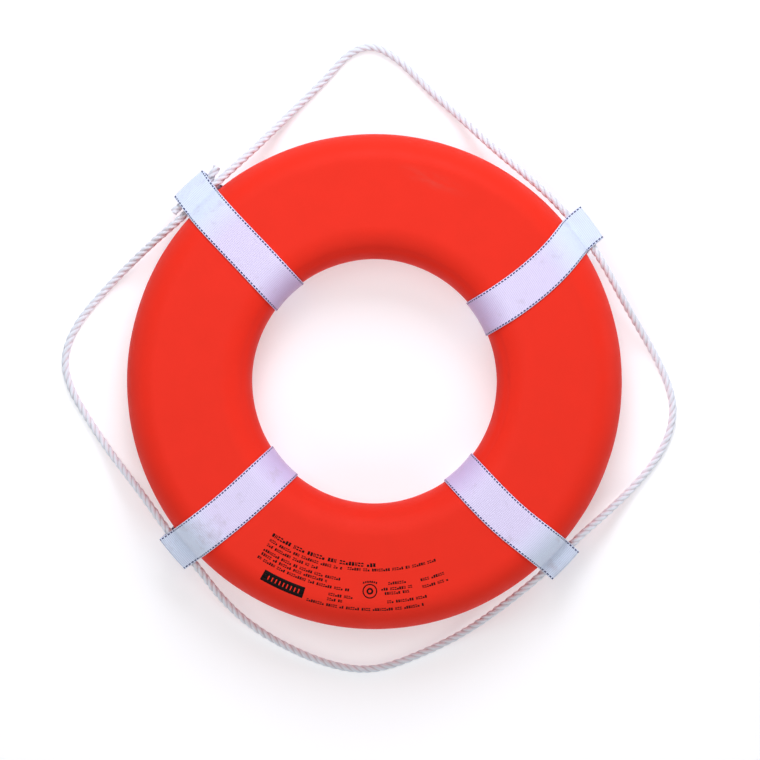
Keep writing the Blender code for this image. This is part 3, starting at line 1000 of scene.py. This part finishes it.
@dataclass
class GrabLine:
    """One three-strand rope through four pockets, with both its ends in the rear left one."""

    ring: RingBody
    diameter: float = 0.0095
    lay: float = 0.0315
    strand_share: float = 0.58
    ring_step: float = 0.00165
    points_around: int = 36
    hinge_reach: float = 0.060
    spline_steps: int = 16
    frayed: float = 0.10
    crossing: float = 133.5
    twine_radius: float = 0.00055
    twine_turns: int = 8
    twine_turn_steps: int = 28
    seizing_width: float = 0.0092
    seizing_slack: float = 0.0010

    # Clockwise from the tail in the rear left pocket: azimuth, how far the rope's centre stands off
    # the rim in rope diameters, its lift from the floor to the ring's middle height, and a rise in
    # rope diameters where one end crosses over the other.
    route: tuple[tuple[float, float, float, float], ...] = (
        (139.9, 1.96, 1.00, 0.00),
        (137.2, 1.75, 1.00, 0.33),
        (135.2, 1.39, 1.00, 0.53),
        (133.5, 1.16, 1.00, 0.56),
        (131.6, 0.99, 1.00, 0.51),
        (129.0, 0.84, 1.00, 0.30),
        (124.0, 1.07, 0.94, 0.00),
        (115.5, 2.32, 0.55, 0.00),
        (107.0, 4.68, 0.10, 0.00),
        (98.0, 8.63, 0.00, 0.00),
        (93.2, 11.21, 0.00, 0.00),
        (90.3, 11.56, 0.00, 0.00),
        (87.4, 10.74, 0.00, 0.00),
        (80.0, 6.95, 0.00, 0.00),
        (72.0, 4.11, 0.16, 0.00),
        (64.0, 2.17, 0.62, 0.00),
        (56.0, 1.22, 0.93, 0.00),
        (46.5, 0.95, 1.00, 0.00),
        (36.0, 1.01, 1.00, 0.00),
        (29.0, 1.24, 0.95, 0.00),
        (20.0, 1.75, 0.72, 0.00),
        (10.5, 3.32, 0.25, 0.00),
        (0.5, 5.95, 0.00, 0.00),
        (-4.6, 6.95, 0.00, 0.00),
        (-8.6, 7.05, 0.00, 0.00),
        (-13.5, 6.42, 0.00, 0.00),
        (-23.0, 4.16, 0.10, 0.00),
        (-32.0, 2.11, 0.62, 0.00),
        (-38.5, 1.16, 0.94, 0.00),
        (-43.9, 0.97, 1.00, 0.00),
        (-50.0, 1.01, 0.98, 0.00),
        (-60.0, 1.45, 0.75, 0.00),
        (-71.0, 2.69, 0.22, 0.00),
        (-82.0, 4.21, 0.00, 0.00),
        (-91.0, 5.45, 0.00, 0.00),
        (-96.0, 5.43, 0.00, 0.00),
        (-106.0, 4.58, 0.00, 0.00),
        (-118.0, 3.37, 0.15, 0.00),
        (-128.0, 1.94, 0.65, 0.00),
        (-134.5, 1.14, 0.95, 0.00),
        (-139.7, 0.97, 1.00, 0.00),
        (-146.0, 0.97, 0.98, 0.00),
        (-155.0, 1.58, 0.72, 0.00),
        (-164.0, 3.32, 0.22, 0.00),
        (-174.0, 6.05, 0.00, 0.00),
        (-181.0, 8.05, 0.00, 0.00),
        (-184.5, 8.37, 0.00, 0.00),
        (-188.0, 8.00, 0.00, 0.00),
        (-196.0, 5.84, 0.00, 0.00),
        (-205.0, 3.37, 0.22, 0.00),
        (-213.5, 1.64, 0.72, 0.00),
        (-218.5, 0.91, 0.96, 0.00),
        (-222.8, 0.67, 1.00, -0.11),
        (-225.2, 0.97, 1.00, -0.51),
        (-226.5, 1.15, 1.00, -0.56),
        (-228.4, 1.39, 1.00, -0.53),
        (-230.4, 1.74, 1.00, -0.42),
        (-232.2, 2.06, 1.00, -0.11),
        (-233.8, 2.42, 1.00, -0.10),
    )

    # The azimuths where a stretch starts and ends; the first and the last end in a tail.
    cuts: tuple[float, ...] = (139.9, 36.0, -43.9, -139.7, -233.8)

    nodes: dict[Stretch, tuple[str, ...]] = field(
        default_factory=lambda: {
            Stretch.REAR: ("grab_line_rear_end", "grab_line_rear_loop", "grab_line_through_rear_right"),
            Stretch.RIGHT: ("grab_line_right_loop", "grab_line_through_front_right"),
            Stretch.FRONT: ("grab_line_front_loop", "grab_line_through_front_left"),
            Stretch.LEFT: ("grab_line_left_loop", "grab_line_left_end"),
        }
    )

    def __post_init__(self) -> None:
        """Work out the whole line once, and where each of its points is round the ring."""
        radius = self.diameter / 2
        knots = []
        for azimuth, stand_off, lift, rise in self.route:
            out = self.ring.rim_radius + stand_off * self.diameter
            height = radius + lift * (self.ring.middle - radius) + rise * self.diameter
            knots.append((out * cos(radians(azimuth)), out * sin(radians(azimuth)), height))
        line = spline_through(knots, self.spline_steps)
        line[:, 2] = np.maximum(line[:, 2], radius)
        self.line, self.along = even_line(line, self.ring_step)
        azimuths = np.degrees(np.unwrap(np.arctan2(self.line[:, 1], self.line[:, 0])))
        self.azimuths = azimuths + 360 * round((self.route[0][0] - azimuths[0]) / 360)

    def place_at(self, azimuth: float) -> int:
        """The number of the line's point that is nearest to an azimuth."""
        return int(np.argmin(abs(self.azimuths - azimuth)))

    def section_radius(self, turn: float) -> float:
        """Work out the radius of the rope's three-lobed section.

        Args:
            turn: The angle from the middle of a strand, in radians.

        Returns:
            The radius there.
        """
        radius = self.diameter / 2
        strand = self.strand_share * radius
        offset = radius - strand
        third = tau / 3
        local = (turn + third / 2) % third - third / 2
        return offset * cos(local) + sqrt(strand**2 - (offset * sin(local)) ** 2)

    def frames(self) -> list[tuple[Vector, Vector]]:
        """Carry one pair of directions square to the line along it, without twisting them.

        Returns:
            The pair at each of the line's points.
        """
        tangents = np.gradient(self.line, axis=0)
        side = Vector((0, 0, 1))
        carried = []
        for tangent in tangents:
            ahead = Vector(tangent).normalized()
            side = (side - ahead * side.dot(ahead)).normalized()
            carried.append((side.copy(), ahead.cross(side)))
        return carried

    def strands(
        self,
        name: str,
        first: int,
        last: int,
        carried: list[tuple[Vector, Vector]],
        finish: bpy.types.Material,
    ) -> bpy.types.Object:
        """Lay one stretch of the rope.

        Args:
            name: The stretch's name.
            first: The number of its first point on the line.
            last: The number of its last point.
            carried: The directions square to the line at each of its points.
            finish: The rope's material.

        Returns:
            The stretch, a closed twisted tube.
        """
        stations = last - first + 1
        around = self.points_around
        mesh = bmesh.new()
        bmesh.ops.create_grid(mesh, x_segments=stations - 1, y_segments=around, size=1.0)
        depth = mesh.verts.layers.float.new("lay_depth")
        cloth = mesh.loops.layers.uv.new("cloth")
        shallow, deep = self.diameter / 2, self.section_radius(tau / 6)
        for face in mesh.faces:
            for loop in face.loops:
                station = round((loop.vert.co.x + 1) / 2 * (stations - 1))
                loop[cloth].uv = (self.along[first + station], (loop.vert.co.y + 1) / 2)
        for vertex in mesh.verts:
            station = first + round((vertex.co.x + 1) / 2 * (stations - 1))
            turn = (vertex.co.y + 1) * pi
            lobed = self.section_radius(turn - tau * self.along[station] / self.lay)
            vertex[depth] = (shallow - lobed) / (shallow - deep)
            flare = 1 + self.frayed * self.tail_share(station)
            side, across = carried[station]
            outward = side * cos(turn) + across * sin(turn)
            vertex.co = Vector(self.line[station]) + outward * lobed * flare
        bmesh.ops.remove_doubles(mesh, verts=mesh.verts, dist=0.00001)
        ends = [edge for edge in mesh.edges if edge.is_boundary]
        caps = bmesh.ops.holes_fill(mesh, edges=ends, sides=0)["faces"]
        bmesh.ops.triangulate(mesh, faces=caps)
        bmesh.ops.recalc_face_normals(mesh, faces=mesh.faces)
        return add_piece(name, mesh, finish)

    def tail_share(self, station: int) -> float:
        """1 at the very end of the rope, falling to 0 within a diameter of it."""
        from_end = min(self.along[station], self.along[-1] - self.along[station])
        return max(0.0, 1 - from_end / self.diameter) ** 2

    def build(self, rope: bpy.types.Material, twine: bpy.types.Material) -> list[bpy.types.Object]:
        """Lay the four stretches, let each loop swing, and bind the two ends together.

        Args:
            rope: The rope's material.
            twine: The material of the twine that binds its ends.

        Returns:
            The four stretches.
        """
        carried = self.frames()
        stretches = []
        for number, stretch in enumerate(Stretch):
            first, last = (self.place_at(azimuth) for azimuth in self.cuts[number : number + 2])
            piece = self.strands(f"grab_line_{stretch.value}", first, last, carried, rope)
            path = self.line[first : last + 1]
            self.let_swing(piece, stretch, path)
            with_pieces = [self.bind_ends(twine)] if stretch is Stretch.REAR else []
            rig.cord(
                piece,
                exit=path[0],
                length=float(self.along[last] - self.along[first]),
                diameter=self.diameter,
                far_end="object",
                stiffness="medium",
                lay="loose",
                path=path[::2],
                with_pieces=with_pieces,
            )
            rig.slot(piece, "rope")
            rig.replaces(piece, *self.nodes[stretch])
            stretches.append(piece)
        return stretches

    def let_swing(self, piece: bpy.types.Object, stretch: Stretch, path: np.ndarray) -> None:
        """Bend a stretch between the ring and its swinging loop, from the hinge line outwards.

        Args:
            piece: The stretch.
            stretch: Which one it is.
            path: The points that it follows.
        """
        joint = next(j for j in frame["joints"] if j["name"] == f"{stretch.value}_loop_swing")
        hinge, axis = Vector(joint["pos_m"]), Vector(joint["axis"]).normalized()
        arms = [Vector(point) - hinge for point in path]
        outward = max((arm - axis * arm.dot(axis) for arm in arms), key=lambda arm: arm.length)
        end = hinge + outward.normalized() * self.hinge_reach
        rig.blend(piece, joint["parent"], joint["child"], start=hinge, end=end)

    def bind_ends(self, finish: bpy.types.Material) -> bpy.types.Object:
        """Wind the twine round both ropes where they cross in their pocket.

        Args:
            finish: The twine's material.

        Returns:
            The binding.
        """
        upper = Vector(self.line[self.place_at(self.crossing)])
        lower = Vector(self.line[self.place_at(self.crossing - 360)])
        centre = (upper + lower) / 2
        outward = Vector((centre.x, centre.y, 0)).normalized()
        along = outward.cross(Vector((0, 0, 1)))
        half_height = (upper.z - lower.z) / 2
        reach = self.diameter / 2 + self.twine_radius + self.seizing_slack
        curve = bpy.data.curves.new("end_seizing_twine", "CURVE")
        curve.dimensions = "3D"
        curve.bevel_depth = self.twine_radius
        curve.bevel_resolution = 2
        curve.use_fill_caps = True
        steps = self.twine_turn_steps * self.twine_turns
        spline = curve.splines.new("POLY")
        spline.points.add(steps)
        for step, point in enumerate(spline.points):
            angle = tau * self.twine_turns * step / steps
            lift = half_height if sin(angle) >= 0 else -half_height
            place = centre + outward * reach * cos(angle)
            place += Vector((0, 0, lift + reach * sin(angle)))
            place += along * self.seizing_width * (step / steps - 0.5)
            point.co = (*place, 1.0)
        curve.materials.append(finish)
        binding = bpy.data.objects.new("end_seizing_twine", curve)
        bpy.context.scene.collection.objects.link(binding)
        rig.ride(binding, "ring")
        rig.slot(binding, "twine")
        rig.replaces(binding, "end_seizing")
        return binding


# --- the beckets ---------------------------------------------------------------------------------
@dataclass
class Becket:
    """One strap of webbing: once round the ring, out round the rope in a pocket, lapped below."""

    name: str
    # Its middle line, as shares of the way from the bore to the rim and azimuths.
    plan: tuple[tuple[float, float], ...]
    slack: float
    # How many degrees the lower ply of the pocket is turned against the upper one.
    under_turn: float
    ring: RingBody
    rope: GrabLine
    width: float = 0.0485
    thickness: float = 0.0016
    gap: float = 0.0003
    lap: float = 0.050
    lap_ramp: float = 0.008
    crease: float = 0.0015
    crease_spread: float = 60.0
    lap_steps: int = 8
    step: float = 0.0016
    columns: int = 24
    shoulder_steps: int = 16
    curve_steps: int = 14
    crease_steps: int = 8
    plan_steps: int = 12

    # Where the upper ply leaves the shoulder, in degrees above level, and how far it clears the
    # rope: over one rope, and over the two that cross in their seizing.
    leave_one: float = 24.0
    leave_seized: float = 38.0
    room_one: float = 0.0009
    room_seized: float = 0.0036

    # The slope over the rope, and how strongly each end of the two curves pulls.
    crown_slope: float = -0.16
    pulls: tuple[float, float, float, float] = (0.55, 0.62, 0.5, 0.35)
    selvedge: float = 0.0004

    def __post_init__(self) -> None:
        """Take the pocket's size from the rope that it holds."""
        self.rim_azimuth = dict(self.plan)[1.0]
        inside = []
        for azimuth, point in zip(self.rope.azimuths, self.rope.line):
            off = (azimuth - self.rim_azimuth + 180) % 360 - 180
            radius = hypot(point[0], point[1])
            if abs(radians(off)) * radius < self.width / 2:
                inside.append((radius, point[2]))
        radii, heights = np.array(inside).T
        rope_radius = self.rope.diameter / 2
        self.fold_radius = radii.max() + rope_radius + self.slack
        self.crown_radius = float(radii.mean())
        self.crown_height = max(heights.max() - self.ring.middle, 0.0) + rope_radius
        self.seized = self.crown_height > self.rope.diameter
        span, turn = self.ring.rim_radius - self.ring.bore_radius, radians(self.ring.rim_radius)
        knots = [(share * span, azimuth * turn) for share, azimuth in self.plan]
        middle = spline_through(knots, self.plan_steps)
        self.shares, self.drift = middle[:, 0] / span, middle[:, 1] / turn

    def azimuth(self, radius: float, under: bool) -> float:
        """Follow the band's middle line.

        Args:
            radius: The distance from the ring's axis.
            under: Whether the place is on the lower ply.

        Returns:
            The line's azimuth there, in degrees.
        """
        span = self.ring.rim_radius - self.ring.bore_radius
        share = (radius - self.ring.bore_radius) / span
        middle = float(np.interp(share, self.shares, self.drift))
        if under:
            to_fold = (self.fold_radius - radius) / (self.fold_radius - self.ring.rim_radius)
            middle += self.under_turn * max(0.0, min(1.0, share, to_fold))
        return middle

    def outer_run(self) -> list[tuple[float, float]]:
        """Follow the upper ply's inner face from the ring's face out over the rope to the fold.

        Returns:
            Its points, as (radius, height).
        """
        ring = self.ring
        leave = self.leave_seized if self.seized else self.leave_one
        room = self.room_seized if self.seized else self.room_one
        run = [
            ring.surface(ring.outer_shoulder, 90 - (90 - leave) * step / self.shoulder_steps, -self.gap)
            for step in range(self.shoulder_steps + 1)
        ]
        turn = radians(leave)
        down = Vector((sin(turn) * ring.outer_shoulder, -cos(turn) * ring.shoulder_height)).normalized()
        start = Vector(run[-1])
        crown = Vector((self.crown_radius, ring.middle + self.crown_height + room))
        flat = Vector((1.0, self.crown_slope)).normalized()
        run += self.curve(start, down * self.pulls[0], crown, flat * self.pulls[1])
        crease_centre = Vector((self.fold_radius - self.crease, ring.middle))
        spread = radians(self.crease_spread)
        bend = crease_centre + Vector((cos(spread), sin(spread))) * self.crease
        into = Vector((sin(spread), -cos(spread)))
        run += self.curve(crown, flat * self.pulls[2], bend, into * self.pulls[3])
        return run

    def curve(
        self, start: Vector, leaving: Vector, end: Vector, arriving: Vector
    ) -> list[tuple[float, float]]:
        """Draw one smooth curve.

        Args:
            start: Where it starts.
            leaving: Its direction there, as long as its pull's share of the whole length.
            end: Where it ends.
            arriving: Its direction there, in the same way.

        Returns:
            Its points after the first one.
        """
        span = (end - start).length
        handles = start + leaving * span, end - arriving * span
        points = interpolate_bezier(start, *handles, end, self.curve_steps)
        return [(point[0], point[1]) for point in points[1:]]

    def inner_run(self) -> list[tuple[float, float]]:
        """Follow the band round the bore, from the upper face down to the lower one.

        Returns:
            Its inner face's points, as (radius, height).
        """
        ring = self.ring
        half_wall = ring.straight_wall / 2
        centre = ring.bore_radius + ring.inner_shoulder
        run = []
        for side in (1, -1):
            for step in range(self.shoulder_steps + 1):
                share = step / self.shoulder_steps
                turn = radians(90 * (1 - share if side == 1 else share))
                radius = centre - (ring.inner_shoulder + self.gap) * cos(turn)
                height = half_wall + (ring.shoulder_height + self.gap) * sin(turn)
                run.append((radius, ring.middle + side * height))
        return run

    def path(self) -> tuple[np.ndarray, np.ndarray, np.ndarray]:
        """Follow the band's inner face from its first end, once round and over that end.

        Returns:
            The points as (radius, height, 1 where the point is below the fold), and the distance
            along the band of each of them.
        """
        ring = self.ring
        upper = self.outer_run()
        lower = [(radius, 2 * ring.middle - height) for radius, height in upper]
        bottom = ring.bottom - self.gap
        outer_ply = bottom - self.thickness - self.gap
        lap_start = ring.bore_radius + ring.inner_shoulder + self.lap_ramp
        points = [(lap_start, bottom, 1.0)] + [(radius, height, 1.0) for radius, height in lower]
        crease_centre = self.fold_radius - self.crease
        for step in range(1, self.crease_steps):
            share = step / self.crease_steps
            angle = radians(self.crease_spread * (2 * share - 1))
            place = (crease_centre + self.crease * cos(angle), ring.middle + self.crease * sin(angle))
            points.append((*place, float(share < 0.5)))
        points += [(radius, height, 0.0) for radius, height in reversed(upper)]
        points += [(radius, height, float(height < ring.middle)) for radius, height in self.inner_run()]
        ramp_start = points[-1][0]
        for step in range(1, self.lap_steps + 1):
            share = step / self.lap_steps
            ease = share * share * (3 - 2 * share)
            radius = ramp_start + (lap_start - ramp_start) * share
            points.append((radius, bottom + (outer_ply - bottom) * ease, 1.0))
        points.append((lap_start + self.lap, outer_ply, 1.0))
        line, places = even_line(np.array(points), self.step, axes=2)
        return line[:, :2], line[:, 2], places

    def build(self, finish: bpy.types.Material) -> bpy.types.Object:
        """Weave the band along its path, give it its thickness and round its edges.

        Args:
            finish: The webbing's material.

        Returns:
            The band.
        """
        line, under, places = self.path()
        stations = len(line)
        mesh = bmesh.new()
        bmesh.ops.create_grid(mesh, x_segments=stations - 1, y_segments=self.columns, size=1.0)
        cloth = mesh.loops.layers.uv.new("cloth")
        half = self.width / 2
        for face in mesh.faces:
            for loop in face.loops:
                station = round((loop.vert.co.x + 1) / 2 * (stations - 1))
                loop[cloth].uv = (places[station], loop.vert.co.y * half)
        middles = [radians(self.azimuth(place[0], below > 0.5)) for place, below in zip(line, under)]
        for vertex in mesh.verts:
            station = round((vertex.co.x + 1) / 2 * (stations - 1))
            radius, height = line[station]
            azimuth = middles[station] + vertex.co.y * half / radius
            vertex.co = (radius * cos(azimuth), radius * sin(azimuth), height)
        band = add_piece(f"becket_{self.name}_webbing", mesh, finish)
        wall = band.modifiers.new("webbing", "SOLIDIFY")
        wall.thickness = self.thickness
        wall.offset = -1.0
        wall.use_even_offset = True
        edges = band.modifiers.new("selvedge", "BEVEL")
        edges.width = self.selvedge
        edges.segments = 1
        edges.limit_method = "ANGLE"
        edges.angle_limit = radians(60)
        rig.ride(band, "ring")
        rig.slot(band, "webbing")
        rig.replaces(band, f"becket_{self.name}")
        return band


@dataclass
class LapStitching:
    """The box stitch with a zigzag in it that closes a becket's lap under the ring."""

    becket: Becket
    margin: float = 0.006
    inset: float = 0.004
    turns: int = 4
    stitch: float = 0.0032
    gap: float = 0.0009
    thread: float = 0.0007

    def runs(self) -> list[tuple[float, float]]:
        """Plan the stitching: round the lap, and then to and fro inside it.

        Returns:
            Its corners in the order that they are sewn, as (radius, distance across the band).
        """
        becket = self.becket
        start = becket.ring.bore_radius + becket.ring.inner_shoulder + becket.lap_ramp + self.margin
        end = start + becket.lap - 2 * self.margin
        side = becket.width / 2 - self.margin
        inner = side - self.inset
        run = [(start, -side), (end, -side), (end, side), (start, side), (start, -inner)]
        for turn in range(1, self.turns + 1):
            along = start + (end - self.inset - start) * turn / self.turns
            run.append((along, inner if turn % 2 else -inner))
        return run

    def point(self, radius: float, across: float, height: float) -> Vector:
        """A point on the lap's lower face."""
        azimuth = radians(self.becket.azimuth(radius, True)) + across / radius
        return Vector((radius * cos(azimuth), radius * sin(azimuth), height))

    def build(self, finish: bpy.types.Material) -> bpy.types.Object:
        """Sew the run as one small rounded stitch after another.

        Args:
            finish: The thread's material.

        Returns:
            The stitches.
        """
        low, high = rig.box(f"becket_stitching_{self.becket.name}")
        height = (low[2] + high[2]) / 2 + self.thread / 4
        mesh = bmesh.new()
        corners = self.runs()
        for start, end in zip(corners, corners[1:]):
            first, last = self.point(*start, height), self.point(*end, height)
            count = max(1, round((last - first).length / self.stitch))
            ahead = (last - first).normalized()
            facing = ahead.to_track_quat("X", "Z").to_matrix().to_4x4()
            length = (last - first).length / count - self.gap
            size = Matrix.Diagonal((length / 2, self.thread / 2, self.thread / 2, 1.0))
            for number in range(count):
                middle = Matrix.Translation(first.lerp(last, (number + 0.5) / count))
                bmesh.ops.create_uvsphere(
                    mesh, u_segments=6, v_segments=5, radius=1.0, matrix=middle @ facing @ size
                )
        piece = add_piece(f"becket_{self.becket.name}_stitches", mesh, finish)
        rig.ride(piece, "ring")
        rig.slot(piece, "thread")
        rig.replaces(piece, f"becket_stitching_{self.becket.name}")
        return piece


# --- the printed marks ---------------------------------------------------------------------------
@dataclass
class PrintedMarks:
    """Unlettered marks where the ring has its legend: rows of blocks, a plate and a round mark."""

    ring: RingBody
    lift: float = 0.00003
    ink: float = 0.00006
    glyph_share: float = 0.74
    space_share: float = 0.82

    # Rows of blocks: radius of the middle of the row, first and last azimuth, height of a block.
    rows: tuple[tuple[float, float, float, float], ...] = (
        (0.2246, 236.4, 270.9, 0.0046),
        (0.2319, 236.6, 260.2, 0.0034),
        (0.2306, 261.8, 289.4, 0.0034),
        (0.2383, 236.7, 253.1, 0.0034),
        (0.2454, 236.6, 260.8, 0.0034),
        (0.2509, 236.7, 256.8, 0.0034),
        (0.2569, 236.3, 263.4, 0.0034),
        (0.2657, 257.8, 265.2, 0.0034),
        (0.2718, 257.7, 261.7, 0.0034),
        (0.2475, 273.9, 278.9, 0.0034),
        (0.2543, 271.9, 280.7, 0.0034),
        (0.2596, 272.8, 279.7, 0.0034),
        (0.2492, 283.1, 290.7, 0.0034),
        (0.2579, 283.2, 290.5, 0.0034),
        (0.2700, 273.3, 284.3, 0.0034),
        (0.2790, 252.7, 282.5, 0.0034),
    )
    words: tuple[int, ...] = (7, 4, 6, 3, 8, 5, 2, 6, 4, 9, 3)
    # The space between two words, in blocks.
    word_space: float = 0.9

    # The plate's inner and outer radius and its azimuths, and the badge's place and radius.
    plate: tuple[float, float, float, float] = (0.2657, 0.2794, 239.9, 251.5)
    plate_border: float = 0.0041
    plate_bars: int = 9
    badge: tuple[float, float, float] = (0.2565, 268.75, 0.0090)
    dot: tuple[float, float] = (0.0012, 0.2)

    def point(self, radius: float, azimuth: float, height: float) -> Vector:
        """A point a little above the ring's upper face."""
        angle = radians(azimuth)
        return Vector((radius * cos(angle), radius * sin(angle), self.ring.face_height(radius) + height))

    def patch(
        self,
        mesh: bmesh.types.BMesh,
        radii: tuple[float, float],
        azimuths: tuple[float, float],
        cells: int = 1,
    ) -> None:
        """Lay one thin patch of ink that follows the ring.

        Args:
            mesh: The marks' mesh.
            radii: Its inner and outer radius.
            azimuths: Its first and last azimuth.
            cells: How many pieces it is cut into along the ring.
        """
        layers = 3 if cells > 1 else 1
        grid = bmesh.ops.create_grid(mesh, x_segments=cells, y_segments=layers, size=1.0)
        for vertex in grid["verts"]:
            azimuth = azimuths[0] + (azimuths[1] - azimuths[0]) * (vertex.co.x + 1) / 2
            radius = radii[1] + (radii[0] - radii[1]) * (vertex.co.y + 1) / 2
            vertex.co = self.point(radius, azimuth, self.lift + self.ink)

    def row(self, mesh: bmesh.types.BMesh, number: int) -> None:
        """Print one row of blocks in words of different lengths.

        Args:
            mesh: The marks' mesh.
            number: The row's number.
        """
        radius, azimuth, last, height = self.rows[number]
        pitch = degrees(height * self.space_share / radius)
        count = 0
        word = number
        left = self.words[word % len(self.words)]
        while azimuth + pitch * self.glyph_share <= last:
            if left == 0:
                word += 1
                left = self.words[word % len(self.words)]
                azimuth += pitch * self.word_space
                continue
            self.block(mesh, radius, azimuth, pitch * self.glyph_share, height, count + number)
            azimuth += pitch
            left -= 1
            count += 1

    def block(
        self,
        mesh: bmesh.types.BMesh,
        radius: float,
        azimuth: float,
        width: float,
        height: float,
        kind: int,
    ) -> None:
        """Print one plain block: whole, short, split level or split upright.

        Args:
            mesh: The marks' mesh.
            radius: The radius of its middle.
            azimuth: Where it starts.
            width: Its width, in degrees.
            height: Its height.
            kind: A number that picks its shape.
        """
        half = height / 2
        shape = (kind * 7 + kind // 3) % 4
        if shape == 0:
            self.patch(mesh, (radius - half, radius + half), (azimuth, azimuth + width))
        elif shape == 1:
            self.patch(mesh, (radius - half * 0.25, radius + half), (azimuth, azimuth + width))
        elif shape == 2:
            self.patch(mesh, (radius - half, radius - half * 0.3), (azimuth, azimuth + width))
            self.patch(mesh, (radius + half * 0.3, radius + half), (azimuth, azimuth + width))
        else:
            self.patch(mesh, (radius - half, radius + half), (azimuth, azimuth + width * 0.36))
            self.patch(mesh, (radius - half, radius + half), (azimuth + width * 0.64, azimuth + width))

    def add_plate(self, mesh: bmesh.types.BMesh) -> None:
        """Print the solid plate, with a row of plain bars left open in it.

        Args:
            mesh: The marks' mesh.
        """
        inner, outer, first, last = self.plate
        border, bars = self.plate_border, self.plate_bars
        self.patch(mesh, (inner, inner + border), (first, last), 16)
        self.patch(mesh, (outer - border, outer), (first, last), 16)
        pitch = (last - first) / (bars + 2)
        slot = pitch * 0.3
        for number in range(bars + 1):
            start = first if number == 0 else first + pitch * (number + 0.5) + slot
            end = last if number == bars else first + pitch * (number + 1.5)
            self.patch(mesh, (inner + border, outer - border), (start, end), 2)

    def add_badge(self, mesh: bmesh.types.BMesh) -> None:
        """Print the round mark: a ring, a smaller ring in it and a row of dots above.

        Args:
            mesh: The marks' mesh.
        """
        radius, azimuth, size = self.badge
        centre = self.point(radius, azimuth, self.lift + self.ink)
        for outside, inside in ((1.0, 0.84), (0.46, 0.22)):
            bounds = []
            for share in (outside, inside):
                circle = bmesh.ops.create_circle(
                    mesh, segments=40, radius=size * share, matrix=Matrix.Translation(centre)
                )["verts"]
                bounds += list({edge for vertex in circle for edge in vertex.link_edges})
            bmesh.ops.bridge_loops(mesh, edges=bounds)
        half_height, half_width = self.dot
        for number in range(-3, 4):
            turn = azimuth + degrees(size * 0.3 / radius) * number
            above = radius - size * 1.28 + 0.00016 * number * number
            radii = (above - half_height, above + half_height)
            self.patch(mesh, radii, (turn - half_width, turn + half_width))

    def build(self, finish: bpy.types.Material) -> bpy.types.Object:
        """Print every mark and give the ink its film.

        Args:
            finish: The ink's material.

        Returns:
            The marks.
        """
        mesh = bmesh.new()
        for number in range(len(self.rows)):
            self.row(mesh, number)
        self.add_plate(mesh)
        self.add_badge(mesh)
        mesh.normal_update()
        for face in mesh.faces:
            if face.normal.z < 0:
                face.normal_flip()
        marks = add_piece("printed_marks", mesh, finish)
        film = marks.modifiers.new("film", "SOLIDIFY")
        film.thickness = self.ink
        film.offset = -1.0
        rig.ride(marks, "ring")
        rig.slot(marks, "vinyl_skin")
        return marks


# --- everything ----------------------------------------------------------------------------------
def make_beckets(ring: RingBody, rope: GrabLine) -> Iterable[Becket]:
    """Cut the four beckets, each with its own slant, sway and slack.

    Args:
        ring: The ring that they go round.
        rope: The rope that they hold.

    Yields:
        The beckets, one after another.
    """
    rear_right = ((0.0, 31.3), (0.22, 31.3), (0.43, 31.9), (0.85, 34.6), (1.0, 35.9), (1.2, 36.3))
    rear_left = ((0.0, 135.1), (0.42, 134.5), (1.0, 133.9), (1.2, 133.2))
    front_left = ((0.0, 221.5), (0.4, 221.9), (1.0, 220.9), (1.2, 220.3))
    front_right = ((0.0, 314.3), (0.55, 314.3), (1.0, 315.9), (1.2, 316.1))
    yield Becket("rear_right", rear_right, 0.0110, -0.35, ring, rope)
    yield Becket("rear_left", rear_left, 0.0070, -1.6, ring, rope)
    yield Becket("front_left", front_left, 0.0070, -0.6, ring, rope)
    yield Becket("front_right", front_right, 0.0068, 0.0, ring, rope)


def report(piece: bpy.types.Object) -> None:
    """Log a finished piece and its size."""
    LOG.info("%s: %.0f x %.0f x %.0f mm", piece.name, *(side / MM for side in piece.dimensions))


def main() -> None:
    """Build the studio, the line, the ring, the beckets and the marks, in that order."""
    logging.basicConfig(level=logging.INFO, format="%(name)s %(message)s")
    ring = RingBody()
    Studio().build(ring.middle)

    rope = GrabLine(ring)
    twine = SpunThread("tarred_twine", "#9A917C", "#6E6653", 0.8, 0.7).material()
    for stretch in rope.build(LaidPolypropylene().material(), twine):
        report(stretch)

    skin = ring.build(DippedVinyl().material())
    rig.ride(skin, "ring")
    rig.slot(skin, "vinyl_skin")
    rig.replaces(skin, "vinyl_skin_top", "vinyl_skin_bottom")
    report(skin)
    core = frame["nodes"]["foam_core"]
    core.data.materials.clear()
    core.data.materials.append(ClosedCellFoam().material())
    report(core)

    webbing = WovenWebbing().material(Becket.width / 2)
    thread = SpunThread("bonded_thread", "#E4E6EE", "#C2C4D0", 0.4, 0.5).material()
    for becket in make_beckets(ring, rope):
        report(becket.build(webbing))
        report(LapStitching(becket).build(thread))
    report(PrintedMarks(ring).build(ScreenInk().material()))

    with open("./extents.json", "w") as sizes:
        boxes = {"cad": CAD_BOX, "visual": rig.bounds()}
        plain = {name: [[float(side) for side in corner] for corner in box] for name, box in boxes.items()}
        json.dump(plain, sizes)


if __name__ == "__main__":
    main()
